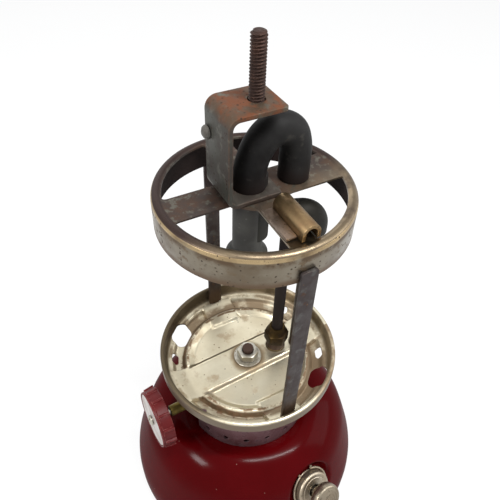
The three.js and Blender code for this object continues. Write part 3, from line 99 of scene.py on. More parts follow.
# Where the plate's mesh needs rings and lines of vertices to carry that pressing.
PRESSED_RINGS = [
    44.6, 44.0, 43.6, 43.2, 42.6, 42.0, 41.2, 40.4, 39.9, 39.6, 39.3, 39.0, 38.7, 38.4, 38.1, 37.5, 36.8,
    36.4, 36.0, 35.6, 35.1, 34.7, 34.2, 33.8, 33.5, 33.2, 32.9, 32.6, 32.4, 32.15, 31.9, 31.7, 31.4, 31.0,
    30.5, 30.0, 29.3, 28.4, 27.2,
]
BAND_LINES = [7.8, 8.1, 8.4, 8.9, 9.4, 9.9, 10.4, 10.9, 11.4, 12.0]
PAD_LINES = [8.2, 8.6, 9.0, 9.4, 9.8, 10.2, 10.6]
PAD_ENDS = [30.4, 29.8, 29.2, 28.6, 28.0]

# The shoulder from the tank's widest part to the collar, and the return bend, as shares of their spans.
SHOULDER = [
    (1, 0), (0.988, 0.078), (0.96, 0.169), (0.905, 0.297), (0.821, 0.482), (0.724, 0.667),
    (0.603, 0.793), (0.459, 0.888), (0.305, 0.953), (0.151, 0.989), (0, 1),
]
ARCH = [
    (0, 0.12), (0.02, 0.4), (0.14, 0.71), (0.36, 0.94), (0.62, 1), (0.87, 0.88), (0.99, 0.6), (1, 0.3),
    (1, 0),
]


# Modelling helpers

def mm(*values):
    return tuple(v * MM for v in values)


def let_go():
    if bpy.context.mode != "OBJECT":
        bpy.ops.object.mode_set(mode="OBJECT")
    bpy.ops.object.select_all(action="DESELECT")


def take(*pieces):
    let_go()
    for piece in pieces:
        piece.select_set(True)
    bpy.context.view_layer.objects.active = pieces[0]


def edit(piece, kind="VERT", action="SELECT"):
    take(piece)
    bpy.ops.object.mode_set(mode="EDIT")
    bpy.ops.mesh.select_mode(type=kind)
    bpy.ops.mesh.select_all(action=action)


def done():
    bpy.ops.object.mode_set(mode="OBJECT")
    return bpy.context.object


def named(name):
    piece = bpy.context.object
    piece.name = name
    piece.data.name = name
    return piece


def settle(piece):
    take(piece)
    bpy.ops.object.transform_apply(location=True, rotation=True, scale=True)
    return piece


def placed(piece, matrix):
    piece.matrix_world = matrix
    return settle(piece)


def around(axis, degrees):
    return Matrix.Rotation(math.radians(degrees), 4, axis)


def at(x, y, z=0):
    return Matrix.Translation(mm(x, y, z))


def along(origin, axis):
    """The place of a piece modelled upright whose axis leans this way from this point."""
    up = Vector(axis).normalized()
    across = Vector((-up.y, up.x, 0)).normalized()
    down = across.cross(up)
    place = Matrix((down, across, up)).transposed().to_4x4()
    place.translation = Vector(origin)
    return place


PUMP = along((0.0116032, -0.0620013, 0.0356282), (0.1593065, -0.851247, 0.5))
VALVE = along((0, 0, 0.0823), (-0.998499, -0.0435954, 0.0331552))
FILLER = along((0.0359419, 0.0460035, 0.054), (0.4353384, 0.5572077, 0.7071068))
SCREW = at(0, 7.4, 257.1) @ around("Y", 90)


def tidy_skin():
    """In edit mode: joins what lies in one place and turns all faces outwards."""
    bpy.ops.mesh.select_all(action="SELECT")
    bpy.ops.mesh.remove_doubles(threshold=WELD)
    bpy.ops.mesh.normals_make_consistent(inside=False)


def drawn(name, points):
    """A line through the points, drawn by pulling one vertex along; it stays in edit mode."""
    let_go()
    bpy.ops.mesh.primitive_plane_add(size=MM, location=mm(*points[0]))
    piece = settle(named(name))
    edit(piece)
    bpy.ops.mesh.merge(type="CENTER")
    for here, there in zip(points, points[1:]):
        step = mm(*(b - a for a, b in zip(here, there)))
        bpy.ops.mesh.extrude_region_move(TRANSFORM_OT_translate={"value": step})
    bpy.ops.mesh.select_all(action="SELECT")
    return piece


def turned(name, profile, sides):
    """A profile of (radius, height) points spun about Z. It closes on itself unless it meets the axis."""
    points = [(r, 0, z) for r, z in profile]
    if min(r for r, z in profile) > 0:
        points.append(points[0])
    drawn(name, points)
    bpy.ops.mesh.spin(steps=sides, angle=TURN, center=(0, 0, 0), axis=(0, 0, 1))
    tidy_skin()
    return done()


def raised(by, profile):
    return [(r, by + z) for r, z in profile]


def prism(name, outline, low, high):
    """A flat outline in XY raised from low to high."""
    points = [(x, y, low) for x, y in outline]
    drawn(name, points + [points[0]])
    bpy.ops.mesh.remove_doubles(threshold=WELD)
    bpy.ops.mesh.select_all(action="SELECT")
    bpy.ops.mesh.edge_face_add()
    bpy.ops.mesh.extrude_region_move(TRANSFORM_OT_translate={"value": mm(0, 0, high - low)})
    tidy_skin()
    return done()


def rod(name, radius, low, high, sides=48, x=0.0, y=0.0):
    let_go()
    bpy.ops.mesh.primitive_cylinder_add(vertices=sides, radius=radius * MM, depth=(high - low) * MM,
                                        location=mm(x, y, (low + high) / 2))
    return settle(named(name))


def block(name, low, high):
    let_go()
    bpy.ops.mesh.primitive_cube_add(size=1, location=mm(*((a + b) / 2 for a, b in zip(low, high))),
                                    scale=mm(*(b - a for a, b in zip(low, high))))
    return settle(named(name))


def arc(x, z, radius, start, end, steps):
    """Points on a round, from one direction in degrees to another."""
    turns = [math.radians(start + (end - start) * i / steps) for i in range(steps + 1)]
    return [(x + radius * math.cos(t), z + radius * math.sin(t)) for t in turns]


def side_of(a, b):
    """The direction to the right of the way from one point to another, or nothing if they are one."""
    length = math.hypot(b[0] - a[0], b[1] - a[1])
    return ((b[1] - a[1]) / length, (a[0] - b[0]) / length) if length > 1e-9 else None


def thickened(line, sheet):
    """A line of sheet metal with its thickness on its right hand, as a closed profile."""
    other = []
    for i, here in enumerate(line):
        before, after = line[max(i - 1, 0)], line[min(i + 1, len(line) - 1)]
        n1, n2 = side_of(before, here), side_of(here, after)
        n1, n2 = n1 or n2, n2 or n1
        share = sheet / (1 + n1[0] * n2[0] + n1[1] * n2[1])
        other.append((here[0] + (n1[0] + n2[0]) * share, here[1] + (n1[1] + n2[1]) * share))
    return other + list(reversed(line))


def eased(points, samples):
    """A smooth line through the points, with even steps from point to point."""
    ends = [points[0]] + list(points) + [points[-1]]
    line = []
    for i in range(samples + 1):
        place = (len(points) - 1) * i / samples
        k = min(int(place), len(points) - 2)
        t = place - k
        p = [Vector(ends[k + j]) for j in range(4)]
        v0, v1 = (p[2] - p[0]) / 2, (p[3] - p[1]) / 2
        line.append(tuple((2 * p[1] - 2 * p[2] + v0 + v1) * t ** 3
                          + (3 * p[2] - 3 * p[1] - 2 * v0 - v1) * t ** 2 + v0 * t + p[1]))
    return line


def centred_line(points, samples):
    """A smooth line that keeps close to unevenly spaced points."""
    p = [Vector(q) for q in points]
    p = [2 * p[0] - p[1]] + p + [2 * p[-1] - p[-2]]
    line = []
    spans = len(points) - 1
    for i in range(samples + 1):
        place = spans * i / samples
        k = min(int(place), spans - 1)
        a, b, c, d = p[k:k + 4]
        t0 = 0.0
        t1 = t0 + (b - a).length ** 0.5
        t2 = t1 + (c - b).length ** 0.5
        t3 = t2 + (d - c).length ** 0.5
        t = t1 + (t2 - t1) * (place - k)
        a1 = a * ((t1 - t) / (t1 - t0)) + b * ((t - t0) / (t1 - t0))
        a2 = b * ((t2 - t) / (t2 - t1)) + c * ((t - t1) / (t2 - t1))
        a3 = c * ((t3 - t) / (t3 - t2)) + d * ((t - t2) / (t3 - t2))
        b1 = a1 * ((t2 - t) / (t2 - t0)) + a2 * ((t - t0) / (t2 - t0))
        b2 = a2 * ((t3 - t) / (t3 - t1)) + a3 * ((t - t1) / (t3 - t1))
        line.append(b1 * ((t2 - t) / (t2 - t1)) + b2 * ((t - t1) / (t2 - t1)))
    return line


def finished(piece, kind, **settings):
    """Adds a modifier with these settings and applies it."""
    take(piece)
    made = piece.modifiers.new(kind.title(), kind)
    for key, value in settings.items():
        setattr(made, key, value)
    bpy.ops.object.modifier_apply(modifier=made.name)
    return piece


def cut(piece, *cutters, way="DIFFERENCE"):
    """Cuts the cutters out of a piece, or joins or crosses them with it, and clears them away."""
    for cutter in cutters:
        finished(piece, "BOOLEAN", operation=way, solver="EXACT", object=cutter)
        bpy.data.objects.remove(cutter)
    return piece


def joined(*pieces):
    take(*pieces)
    bpy.ops.object.join()
    return pieces[0]


def rounded(piece, width, segments=2, angle=30):
    return finished(piece, "BEVEL", width=width * MM, segments=segments, limit_method="ANGLE",
                    angle_limit=math.radians(angle), harden_normals=False)


def corners_rounded(piece, width, segments, wanted):
    """Rounds the edges for which the test says yes, given their two ends and their key."""
    edit(piece, "EDGE", "DESELECT")
    bpy.ops.object.mode_set(mode="OBJECT")
    mesh = piece.data
    for edge in mesh.edges:
        a, b = (mesh.vertices[i].co for i in edge.vertices)
        edge.select = bool(wanted(a, b, edge.key))
    bpy.ops.object.mode_set(mode="EDIT")
    bpy.ops.mesh.bevel(offset=width * MM, segments=segments, affect="EDGES")
    return done()


def smooth(piece, angle=35):
    take(piece)
    bpy.ops.object.shade_smooth_by_angle(angle=math.radians(angle))
    return piece


def lathed(name, profile, sides, place, angle=35):
    """A turned piece put in its place and shaded."""
    return smooth(placed(turned(name, profile, sides), place), angle)


def swept(name, line, radius, sides):
    """A round bar pulled along a line in the XZ plane, ring by ring."""
    let_go()
    bpy.ops.mesh.primitive_circle_add(vertices=sides, radius=radius * MM, fill_type="NGON",
                                      location=mm(*line[0]))
    edit(settle(named(name)), "FACE")
    heading = 0.0
    for i in range(1, len(line)):
        here, before = Vector(line[i]), Vector(line[i - 1])
        after = Vector(line[i + 1]) if i + 1 < len(line) else here
        run = after - before
        turn = math.atan2(run.x, run.z)
        bpy.ops.mesh.extrude_region_move(TRANSFORM_OT_translate={"value": mm(*(here - before))})
        bpy.ops.transform.rotate(value=heading - turn, orient_axis="Y", center_override=mm(*here))
        heading = turn
    tidy_skin()
    return done()


def swept_across(name, line, radius, sides):
    """As swept, for a line that starts along X."""
    start = Vector(line[0])
    bar = swept(name, [tuple(around("Y", -90) @ (Vector(p) - start)) for p in line], radius, sides)
    return placed(bar, Matrix.Translation(start * MM) @ around("Y", 90))


def hex_nut(name, flats, bore, low, high, chamfer=0.7):
    """A hexagon with its corners turned off at both ends, bored through."""
    corner = flats / math.sqrt(3)
    nut = rod(name, corner, low, high, sides=6)
    edge = chamfer * 0.6
    turning = turned("turning", [
        (0, low), (flats / 2 - chamfer * 0.2, low), (corner + 0.05, low + edge), (corner + 0.05, high - edge),
        (flats / 2 - chamfer * 0.2, high), (0, high),
    ], 48)
    cut(nut, turning, way="INTERSECT")
    if bore:
        cut(nut, rod("bore", bore, low - 1, high + 1, 32))
    return smooth(rounded(nut, 0.15, 2, 25), 25)


# Fount

def fount_shell():
    """The shoulder and crown as one skin, its dish pressed in, then given its thickness and holes."""
    rise, spread = FOUNT_TOP - FOOT - GAP, FOUNT_R - COLLAR_R
    shoulder = eased([(COLLAR_R + out * spread, FOOT + GAP + up * rise) for out, up in SHOULDER], 84)
    land = [(38, FOUNT_TOP), (36.1, FOUNT_TOP), (35.4, FOUNT_TOP - 0.1), (34.7, FOUNT_TOP - 0.5)]
    crown = [(33.7, CROWN + 0.5), (33.1, CROWN + 0.1), (32.3, CROWN), (24, CROWN), (12, CROWN), (0, CROWN)]
    shell = turned("fount_enamel_shell", shoulder[:-1] + land + crown, 320)
    press_dish(shell)
    face_out(shell)
    finished(shell, "SOLIDIFY", thickness=1.2 * MM, offset=-1, use_even_offset=True)
    pump_hole = placed(rod("bore", 8.3, -20, 6), PUMP)
    filler_hole = placed(rod("bore", 10.8, -21, 21), FILLER)
    valve_hole = rod("bore", 7.3, 54, 66)
    cut(shell, joined(pump_hole, filler_hole, valve_hole))
    return smooth(shell, 40)


def face_out(piece):
    """Turns a skin's faces up and outwards where they look the other way."""
    middle = min(piece.data.polygons, key=lambda face: face.center.xy.length)
    if middle.normal.z < 0:
        edit(piece)
        bpy.ops.mesh.flip_normals()
        done()


def soft_least(a, b, blend):
    """The smaller of two values, rounded where they meet."""
    h = max(blend - abs(a - b), 0) / blend
    return min(a, b) - h * h * blend / 4


def press_dish(shell):
    """Sinks the round seat of the pump into the shoulder, with a rolled edge."""
    dish_r, slope, foot_roll, rim_roll = 14.7, 0.45, 2.6, 3.4
    reach, behind = 34, -9
    local = PUMP.inverted()
    for vertex in shell.data.vertices:
        spot = local @ vertex.co / MM
        out = math.hypot(spot.x, spot.y)
        if out > reach or spot.z < behind:
            continue
        wall = (out - dish_r) / slope
        pressed = soft_least(spot.z, -soft_least(-wall, 0, foot_roll), rim_roll)
        if pressed < spot.z:
            spot.z = pressed
            vertex.co = PUMP @ (spot * MM)


def fount_pan():
    lip = 72.7
    line = [(lip, FOOT + 4.5), (lip, FOOT), (FOUNT_R - 0.4, FOOT)]
    line += [(FOUNT_R, FOOT - 0.4)] + arc(FOUNT_R - 3, 3, 3, 0, -90, 8)
    line += [(60, 0), (57.5, 0.5), (52, 0.9), (20, 0.9), (0, 0.9)]
    sheet = thickened(line, 1.2)
    half = len(line)
    return smooth(turned("fount_enamel_pan", sheet[half:] + sheet[:half], 180), 40)


def collar():
    edge, sheet = 0.25, 0.9
    inner, outer = COLLAR_R - 2.7, COLLAR_R + 1
    vents, first_turn, vent_r, notch_half, clear = 19, -117.6, 1.8, 6.3, 19
    band = turned("collar_band", [
        (COLLAR_R - sheet, COLLAR_LOW), (COLLAR_R - edge, COLLAR_LOW), (COLLAR_R, COLLAR_LOW + edge),
        (COLLAR_R, COLLAR_LOW + 4), (COLLAR_R, COLLAR_HIGH - edge), (COLLAR_R - edge, COLLAR_HIGH),
        (COLLAR_R - sheet, COLLAR_HIGH),
    ], 162)
    holes = []
    for i in range(vents):
        turn = first_turn + 360 * i / vents
        if abs((turn - NOTCH_TURN + 180) % 360 - 180) >= clear:
            hole = rod("vent", vent_r, inner, outer, 24)
            holes.append(placed(hole, around("Z", turn) @ at(0, 0, VENT_ROW) @ around("Y", 90)))
    cut(band, joined(*holes))
    notch = block("notch", (inner, -notch_half, COLLAR_LOW - 1), (outer, notch_half, NOTCH_TOP))
    round_top = placed(rod("notch_top", notch_half, inner, outer, 48), at(0, 0, NOTCH_TOP) @ around("Y", 90))
    cut(band, placed(cut(notch, round_top, way="UNION"), around("Z", NOTCH_TURN)))
    return smooth(band, 40)


# Globe plate

def ramp(value, low, high):
    t = min(max((value - low) / (high - low), 0), 1)
    return t * t * (3 - 2 * t)


def hump(value, low, full, fall, high):
    return ramp(value, low, full) * (1 - ramp(value, fall, high))


def pressed_height(x, y):
    """How far the pressing moves the plate's sheet at a place, from the level of the ledge."""
    r = math.hypot(x, y)
    turn = math.radians(BAND_TURN)
    across = abs(-x * math.sin(turn) + y * math.cos(turn))
    off_pad = ramp(max(abs(x) - PAD_X, PAD_Y - abs(y)), *PAD_SLOPE)
    height = -FLOOR_DROP * (1 - ramp(r, *FLOOR_EDGE))
    height -= PANEL_DROP * ramp(across, *PANEL_SIDE) * (1 - ramp(r, *PANEL_END)) * off_pad
    height += LINE_RISE * hump(across, *LINE) * (1 - ramp(r, *LINE_END))
    height += BEAD_RISE * hump(r, *BEAD) * min(ramp(across, *BEAD_SIDE), ramp(abs(x), *BEAD_PAD))
    height -= TRENCH_DROP * hump(r, *TRENCH) * min(ramp(across, *TRENCH_SIDE), ramp(abs(x), *TRENCH_PAD))
    return height


def plate_line(depth):
    """The plate's section from the rim's outer edge to the middle, at a depth in from its shown face."""
    wall, roll, fillet, inner_rings = PLATE_R - 2.7, 1.3, 3.4, 18
    line = [(PLATE_R - depth, PLATE_SKIRT)]
    line += arc(PLATE_R - roll, PLATE_RIM - roll, roll - depth, 0, 90, 6)
    line += arc(wall + roll, PLATE_RIM - roll, roll - depth, 90, 180, 6)
    line += arc(wall - fillet, LEDGE + fillet, fillet + depth, 0, -90, 8)
    line += [(r, LEDGE - depth) for r in PRESSED_RINGS]
    shares = [1 - i / inner_rings for i in range(1, inner_rings + 1)]
    return line + [(PRESSED_RINGS[-1] * share, LEDGE - depth) for share in shares]


def ruled(piece, x, y, degrees):
    """Adds edges where an upright plane through (x, y) meets the piece. The plane faces along the turn."""
    edit(piece, "EDGE")
    t = math.radians(degrees)
    bpy.ops.mesh.bisect(plane_co=mm(x, y, 0), plane_no=(math.cos(t), math.sin(t), 0), use_fill=False)
    done()


def globe_plate():
    sheet = 0.9
    plate = turned("globe_plate_pressing", plate_line(0)[::-1] + plate_line(sheet), 240)
    t = math.radians(BAND_TURN)
    for side in (1, -1):
        for across in BAND_LINES:
            ruled(plate, -across * side * math.sin(t), across * side * math.cos(t), BAND_TURN + 90)
        for along_x in PAD_LINES:
            ruled(plate, along_x * side, 0, 0)
        for along_y in PAD_ENDS:
            ruled(plate, 0, along_y * side, 90)
    for vertex in plate.data.vertices:
        x, y = vertex.co.x / MM, vertex.co.y / MM
        if math.hypot(x, y) < PRESSED_R:
            vertex.co.z += pressed_height(x, y) * MM
    face_out(plate)
    cut(plate, plate_holes())
    return smooth(plate, 40)


def slot_cutter(length, width, place):
    reach = (length - width) / 2
    outline = arc(reach, 0, width / 2, -90, 90, 12) + arc(-reach, 0, width / 2, 90, 270, 12)
    return placed(prism("slot", outline, *PLATE_CUT), place @ around("Z", 90))


def plate_holes():
    low, high = PLATE_CUT
    cutters = []
    for half in (0, 180):
        wide, narrow, drain = (around("Z", turn + half) @ at(43.1, 0) for turn in (-47, -24, 28))
        cutters.append(slot_cutter(15, 9.4, wide))
        cutters.append(slot_cutter(7, 3.5, narrow))
        cutters.append(placed(rod("drain", 1.7, low, high, 24), drain))
        leg_slot = block("leg_slot", (-2.8, 44.45, low), (2.8, 46.55, high))
        cutters.append(placed(leg_slot, around("Z", half)))
    cutters.append(rod("stud_hole", STUD_HOLE_R, low, high, 32))
    cutters.append(rod("outlet_hole", OUTLET_HOLE_R, low, high, 32, x=GENERATOR_X))
    cutters.append(rod("air_hole", AIR_R + GAP, low, high, 32, x=AIR_X, y=AIR_Y))
    return joined(*cutters)


def plate_washer():
    return smooth(turned("plate_washer_turned", [
        (STUD_HOLE_R, 103.0), (8.0, 103.0), (8.2, 103.2), (8.2, 103.8), (8.0, 104.0), (STUD_HOLE_R, 104.0),
    ], 64), 30)


def plate_nut():
    return hex_nut("plate_nut_hex", 11, STUD_HOLE_R, 104.3, 109.3, 0.8)


# Burner frame

def leg_strap(name, turn):
    """A strap that leans from the plate to the outside of the top ring, on the -Y side before its turn."""
    foot, top, half, above_skirt = COLLAR_R + 7.5, RING_R + 1.05, 0.75, 6.2
    line = [(foot, LEDGE + 0.3), (top, RING_SKIRT - 0.3), (top, RING_SKIRT + above_skirt)]
    outline = [(x + half, z) for x, z in line] + [(x - half, z) for x, z in reversed(line)]
    strap = placed(prism(name, outline, -4, 4), around("Z", -90) @ around("X", 90))
    cut(strap, block("tab", (-2.5, -foot - half, 100.7), (2.5, -foot + half, 107.0)), way="UNION")
    tip = (RING_SKIRT + above_skirt - 0.1) * MM

    def through_the_tip(a, b, _):
        through = abs(a.x - b.x) < A_HAIR and abs(a.z - b.z) < A_HAIR
        return through and a.z > tip and b.z > tip

    corners_rounded(strap, 1.0, 4, through_the_tip)
    return smooth(placed(rounded(strap, 0.22, 2, 40), around("Z", turn)), 35)


def front_leg():
    return leg_strap("leg_strap_front", 0)


def back_leg():
    return leg_strap("leg_strap_back", 180)


def top_ring():
    bead, sheet = 2.6, 0.9
    line = [(0, SPOKE), (RING_EYE - 0.2, SPOKE)]
    line += arc(RING_R - bead, RING_TOP - bead, bead, 112, 0, 12)
    line += [(RING_R, RING_TOP - 16.2), (RING_R - 0.1, RING_SKIRT)]
    ring = turned("top_ring_stamping", thickened(line, sheet), 180)
    cut(ring, ring_openings(), rod("bore", TUBE_R + GAP, *RING_CUT, 48, x=BURNER_X),
        rod("bore", OUTLET_HOLE_R, *RING_CUT, 48, x=GENERATOR_X))
    return smooth(rounded(ring, 0.22, 2, 50), 35)


def ring_openings():
    """The four openings between the spokes, with rounded corners, as one cutter."""
    low, high, reach = 226, 232, 45
    web_y, web_half = 1.1, 7.7
    openings = rod("openings", RING_EYE, *RING_CUT, 144)
    hub = rod("hub", 15, low, high, 96)
    legs = block("legs", (-6, -reach, low), (6, reach, high))
    web = block("web", (-reach, web_y - web_half, low), (0, web_y + web_half, high))
    burner = block("burner", (0, -10, low), (reach, 10, high))
    cut(openings, hub, legs, web, burner)
    faces = {}
    for face in openings.data.polygons:
        for key in face.edge_keys:
            faces.setdefault(key, []).append(face.normal.copy())

    def upright_corner(a, b, key):
        sides = faces[key]
        return (a - b).xy.length < A_HAIR and len(sides) == 2 and sides[0].angle(sides[1]) > math.radians(25)

    return corners_rounded(openings, 2.6, 6, upright_corner)


def bracket():
    back, front, bend, sheet, half = -17.8, 7.5, 5.0, 2.0, 10.5
    inner = bend - sheet
    outline = [(front, BRACKET_LOW), (front, BRACKET_LOW + sheet)]
    outline += arc(back + bend, BRACKET_LOW + bend, inner, -90, -180, 10)
    outline += arc(back + bend, BRACKET_HIGH - bend, inner, 180, 90, 10)
    outline += [(front, BRACKET_HIGH - sheet), (front, BRACKET_HIGH)]
    outline += arc(back + bend, BRACKET_HIGH - bend, bend, 90, 180, 10)
    outline += arc(back + bend, BRACKET_LOW + bend, bend, 180, 270, 10)
    strap = placed(prism("bracket_strap", outline, -half, half), around("X", 90))

    def front_corner(a, b, _):
        at_side = abs(abs(a.y) - half * MM) < A_HAIR
        return at_side and a.x > (front - 0.1) * MM and (a - b).xy.length < A_HAIR

    corners_rounded(strap, 1.6, 5, front_corner)
    screw_hole = placed(rod("bore", 1.9, back - 1, back + 3, 24), SCREW)
    tube_hole = rod("bore", TUBE_R + GAP, 228, 233, 48, x=BURNER_X)
    cut(strap, tube_hole, rod("bore", STUD_HOLE_R, 267, 272, 40, x=STUD_X), screw_hole)
    return smooth(rounded(strap, 0.3, 3, 40), 35)


def bracket_screw():
    profile = raised(-18.1, [
        (0, -2.4), (1.2, -2.3), (2.3, -1.7), (2.9, -0.8), (2.9, -0.1), (2.8, 0), (1.6, 0), (1.6, 9), (0, 9),
    ])
    return lathed("bracket_screw_head", profile, 32, SCREW)


def ventilator_stud():
    """The threaded stud: a plain bar with many rings, pushed in and out along the helix."""
    low, high, pitch, depth, radius = 268.6, STUD_TIP, 1.27, 0.72, 3.175
    rings_per_turn, tip_length, tip_depth = 10, 0.7, 0.6
    rows = int(round((high - low) / pitch * rings_per_turn))
    points = [(radius, low + (high - low) * i / rows) for i in range(rows + 1)]
    stud = turned("threaded_stud", [(0, low)] + points + [(0, high)], 48)
    for vertex in stud.data.vertices:
        z, r = vertex.co.z / MM, vertex.co.xy.length / MM
        if r < 1:
            continue
        phase = TURN * (z - low) / pitch - math.atan2(vertex.co.y, vertex.co.x)
        valley = abs(((phase / TURN) % 1) * 2 - 1)
        taper = max(0, 1 - (high - z) / tip_length) * tip_depth
        size = radius - depth * min(max(valley * 1.25 - 0.12, 0), 1) - taper
        vertex.co.xy = vertex.co.xy.normalized() * size * MM
    placed(stud, at(STUD_X, 0))
    under = BRACKET_HIGH - 2.3
    head = raised(under, [(0, -2), (4.2, -2), (4.6, -1.6), (4.6, -0.2), (4.4, 0), (0, 0)])
    return smooth(joined(stud, placed(turned("stud_head", head, 40), at(STUD_X, 0))), 50)


def return_tube():
    low, crown, span = SPOKE + GAP, BRACKET_HIGH - 2 - 6 - TUBE_R, GENERATOR_X - BURNER_X
    points = [(BURNER_X, 0, 224.0)]
    points += [(BURNER_X + out * span, 0, low + up * (crown - low)) for out, up in ARCH]
    tube = swept("return_bend", centred_line(points, 72), TUBE_R, 48)
    return smooth(rounded(tube, 0.5, 3, 50), 40)


def burner_tube():
    top, bore, seat = 223.7, 4.3, 8.8
    return lathed("burner_tube_turned", [
        (seat, FLARE_MOUTH), (9.8, FLARE_MOUTH), (10, 190.2), (10, 192.6), (9.8, 193.1), (7.5, 196.0),
        (7.1, 196.8), (TUBE_R, 197.6), (TUBE_R, top - 0.2), (6.8, top), (5.5, top), (5.5, top + 7),
        (bore, top + 7), (bore, 196.5), (seat, 193.0),
    ], 64, at(BURNER_X, 0))


def mixing_elbow():
    """The mixing chamber under the spoke and the elbow that reaches down over the air tube."""
    top, bend_low = SPOKE_BELOW - GAP, ELBOW_AXIS - ELBOW_BEND
    chamber = turned("mixing_chamber", [
        (0, CHAMBER_FOOT), (6.4, CHAMBER_FOOT), (TUBE_R, CHAMBER_FOOT + 0.8), (TUBE_R, top - 0.6), (6.6, top),
        (5.5, top), (5.5, top + 8.2), (0, top + 8.2),
    ], 64)
    out = math.hypot(AIR_X - GENERATOR_X, AIR_Y)
    turn = math.degrees(math.atan2(AIR_Y, AIR_X - GENERATOR_X))
    line = [(0, 0, ELBOW_AXIS), (2, 0, ELBOW_AXIS), (4, 0, ELBOW_AXIS)]
    line += [(x, 0, z) for x, z in arc(out - ELBOW_BEND, bend_low, ELBOW_BEND, 90, 0, 14)]
    line += [(out, 0, bend_low - 2), (out, 0, bend_low - 4)]
    elbow = swept_across("elbow", line, 6.5, 48)
    placed(elbow, at(GENERATOR_X, 0) @ around("Z", turn))
    cut(chamber, elbow, way="UNION")
    mouth = placed(rod("mouth", AIR_R + GAP, bend_low - 6, bend_low - 0.5, 40), at(AIR_X, AIR_Y))
    cut(chamber, mouth, placed(rod("bore", 4.3, CHAMBER_FOOT - 1, top + 10, 40), at(GENERATOR_X, 0)))
    return smooth(rounded(chamber, 0.5, 3, 45), 40)


def air_tube():
    low, top, bore = 98.9, ELBOW_AXIS - ELBOW_BEND - 2, 3.8
    profile = [(bore, low), (AIR_R, low), (AIR_R, top), (bore, top)]
    return lathed("air_tube_turned", profile, 48, at(AIR_X, AIR_Y))


def channel_rib():
    base, outer, inner = SPOKE + GAP, 4.3, 2.6
    centre = outer - 0.8
    crown = base + 7 - outer
    outline = [(centre - outer, base), (centre - inner, base)] + arc(centre, crown, inner, 180, 0, 14)
    outline += [(centre + inner, base), (centre + outer, base)] + arc(centre, crown, outer, 0, 180, 18)
    rib = placed(prism("channel_rib", outline, 16.5, 39.2), around("X", 90))
    return smooth(rounded(rib, 0.25, 2, 40), 35)


def channel_flange():
    base, back, front = SPOKE + GAP, -36.0, -16.5
    flange = block("channel_flange", (-6.0, back, base), (-0.9, front, base + 0.9))
    cut(flange, block("lip", (-6.0, back, base + 0.6), (-5.2, front, base + 1.5)), way="UNION")
    return smooth(rounded(flange, 0.25, 2, 40), 35)


# Generator and valve

def generator_tube():
    low, top, bore, outer = OUTLET_TOP - 2.7, CHAMBER_FOOT + 1.5, 2.2, 3.175
    return lathed("generator_tube_turned", [
        (bore, low), (outer, low), (outer, 150), (outer, top - 6), (3.0, top - 5.6), (3.0, top), (bore, top),
    ], 48, at(GENERATOR_X, 0))


def generator_nut():
    base = OUTLET_TOP + GAP
    nut = hex_nut("generator_nut_hex", 12.5, 0, base, base + 7.5, 1.2)
    cone = turned("cone", raised(base, [
        (0, 6.5), (6.0, 6.5), (6.0, 7.8), (5.6, 8.4), (4.8, 11.2), (4.4, 12), (0, 12),
    ]), 48)
    cut(nut, cone, way="UNION")
    cut(nut, rod("bore", STUD_HOLE_R, base - 1, base + 13, 40))
    return smooth(placed(nut, at(GENERATOR_X, 0)), 30)


def valve_stem():
    return lathed("valve_stem_bar", [
        (0, 5), (2.2, 7.2), (2.2, 23.6), (2.9, 23.6), (3.2, 23.9), (3.2, 30), (3.2, 52.2), (2.9, 52.5),
        (1.7, 52.5), (1.7, 47.5), (0, 47.5),
    ], 40, VALVE)


def valve_wheel():
    back, front, step, ribs = 55.7, 63.9, 60.8, 12
    body = turned("valve_wheel_moulding", [
        (3.5, back), (5.2, back), (5.5, back + 0.3), (5.5, step), (14.3, step), (14.9, back + 0.3),
        (15.2, back), (16.4, back), (16.8, back + 0.4), (16.3, front - 2.0), (16.6, front - 1.6),
        (16.6, front - 0.4), (16.3, front), (15.9, front), (15.7, front - 0.2), (15.7, 62.8), (1.7, 62.8),
        (1.7, step), (3.5, step),
    ], 120)
    outline = [(-0.95, 15.9), (0.95, 15.9), (0.7, 17.8), (0.35, 18.2), (-0.35, 18.2), (-0.7, 17.8)]
    made = []
    for i in range(ribs):
        rib = prism("rib", outline, back + 0.4, front - 1.8)
        edit(rib, action="DESELECT")
        bpy.ops.object.mode_set(mode="OBJECT")
        for vertex in rib.data.vertices:
            vertex.select = vertex.co.z > (front - 1.9) * MM
        bpy.ops.object.mode_set(mode="EDIT")
        bpy.ops.transform.translate(value=mm(0, -0.85, 0))
        done()
        made.append(placed(rib, around("Z", 360 * i / ribs)))
    cut(body, joined(*made), way="UNION")
    return smooth(placed(rounded(body, 0.2, 2, 40), VALVE), 35)


def wheel_disc():
    return lathed("wheel_face_disc", raised(63.7, [
        (1.7, -0.6), (15.4, -0.6), (15.4, -0.25), (15.2, -0.05), (14.9, 0), (14.2, -0.12), (5, -0.12),
        (4.4, -0.02), (1.7, -0.02),
    ]), 96, VALVE, 20)


def wheel_screw():
    face = 64.0
    head = raised(face, [(1.4, 0), (3, 0), (3, 0.5), (2.6, 1.0), (1.6, 1.45), (0, 1.6)])
    screw = turned("wheel_screw_head", [(0, 48.1), (1.4, 48.1)] + head, 40)
    cut(screw, block("slot", (-4, -0.4, face + 0.9), (4, 0.4, face + 3)))
    return smooth(placed(rounded(screw, 0.08, 1, 40), VALVE))


def packing_nut():
    return placed(hex_nut("packing_nut_hex", 10, 2.7, 16.3, 23.3, 0.8), VALVE)


# Pump and filler

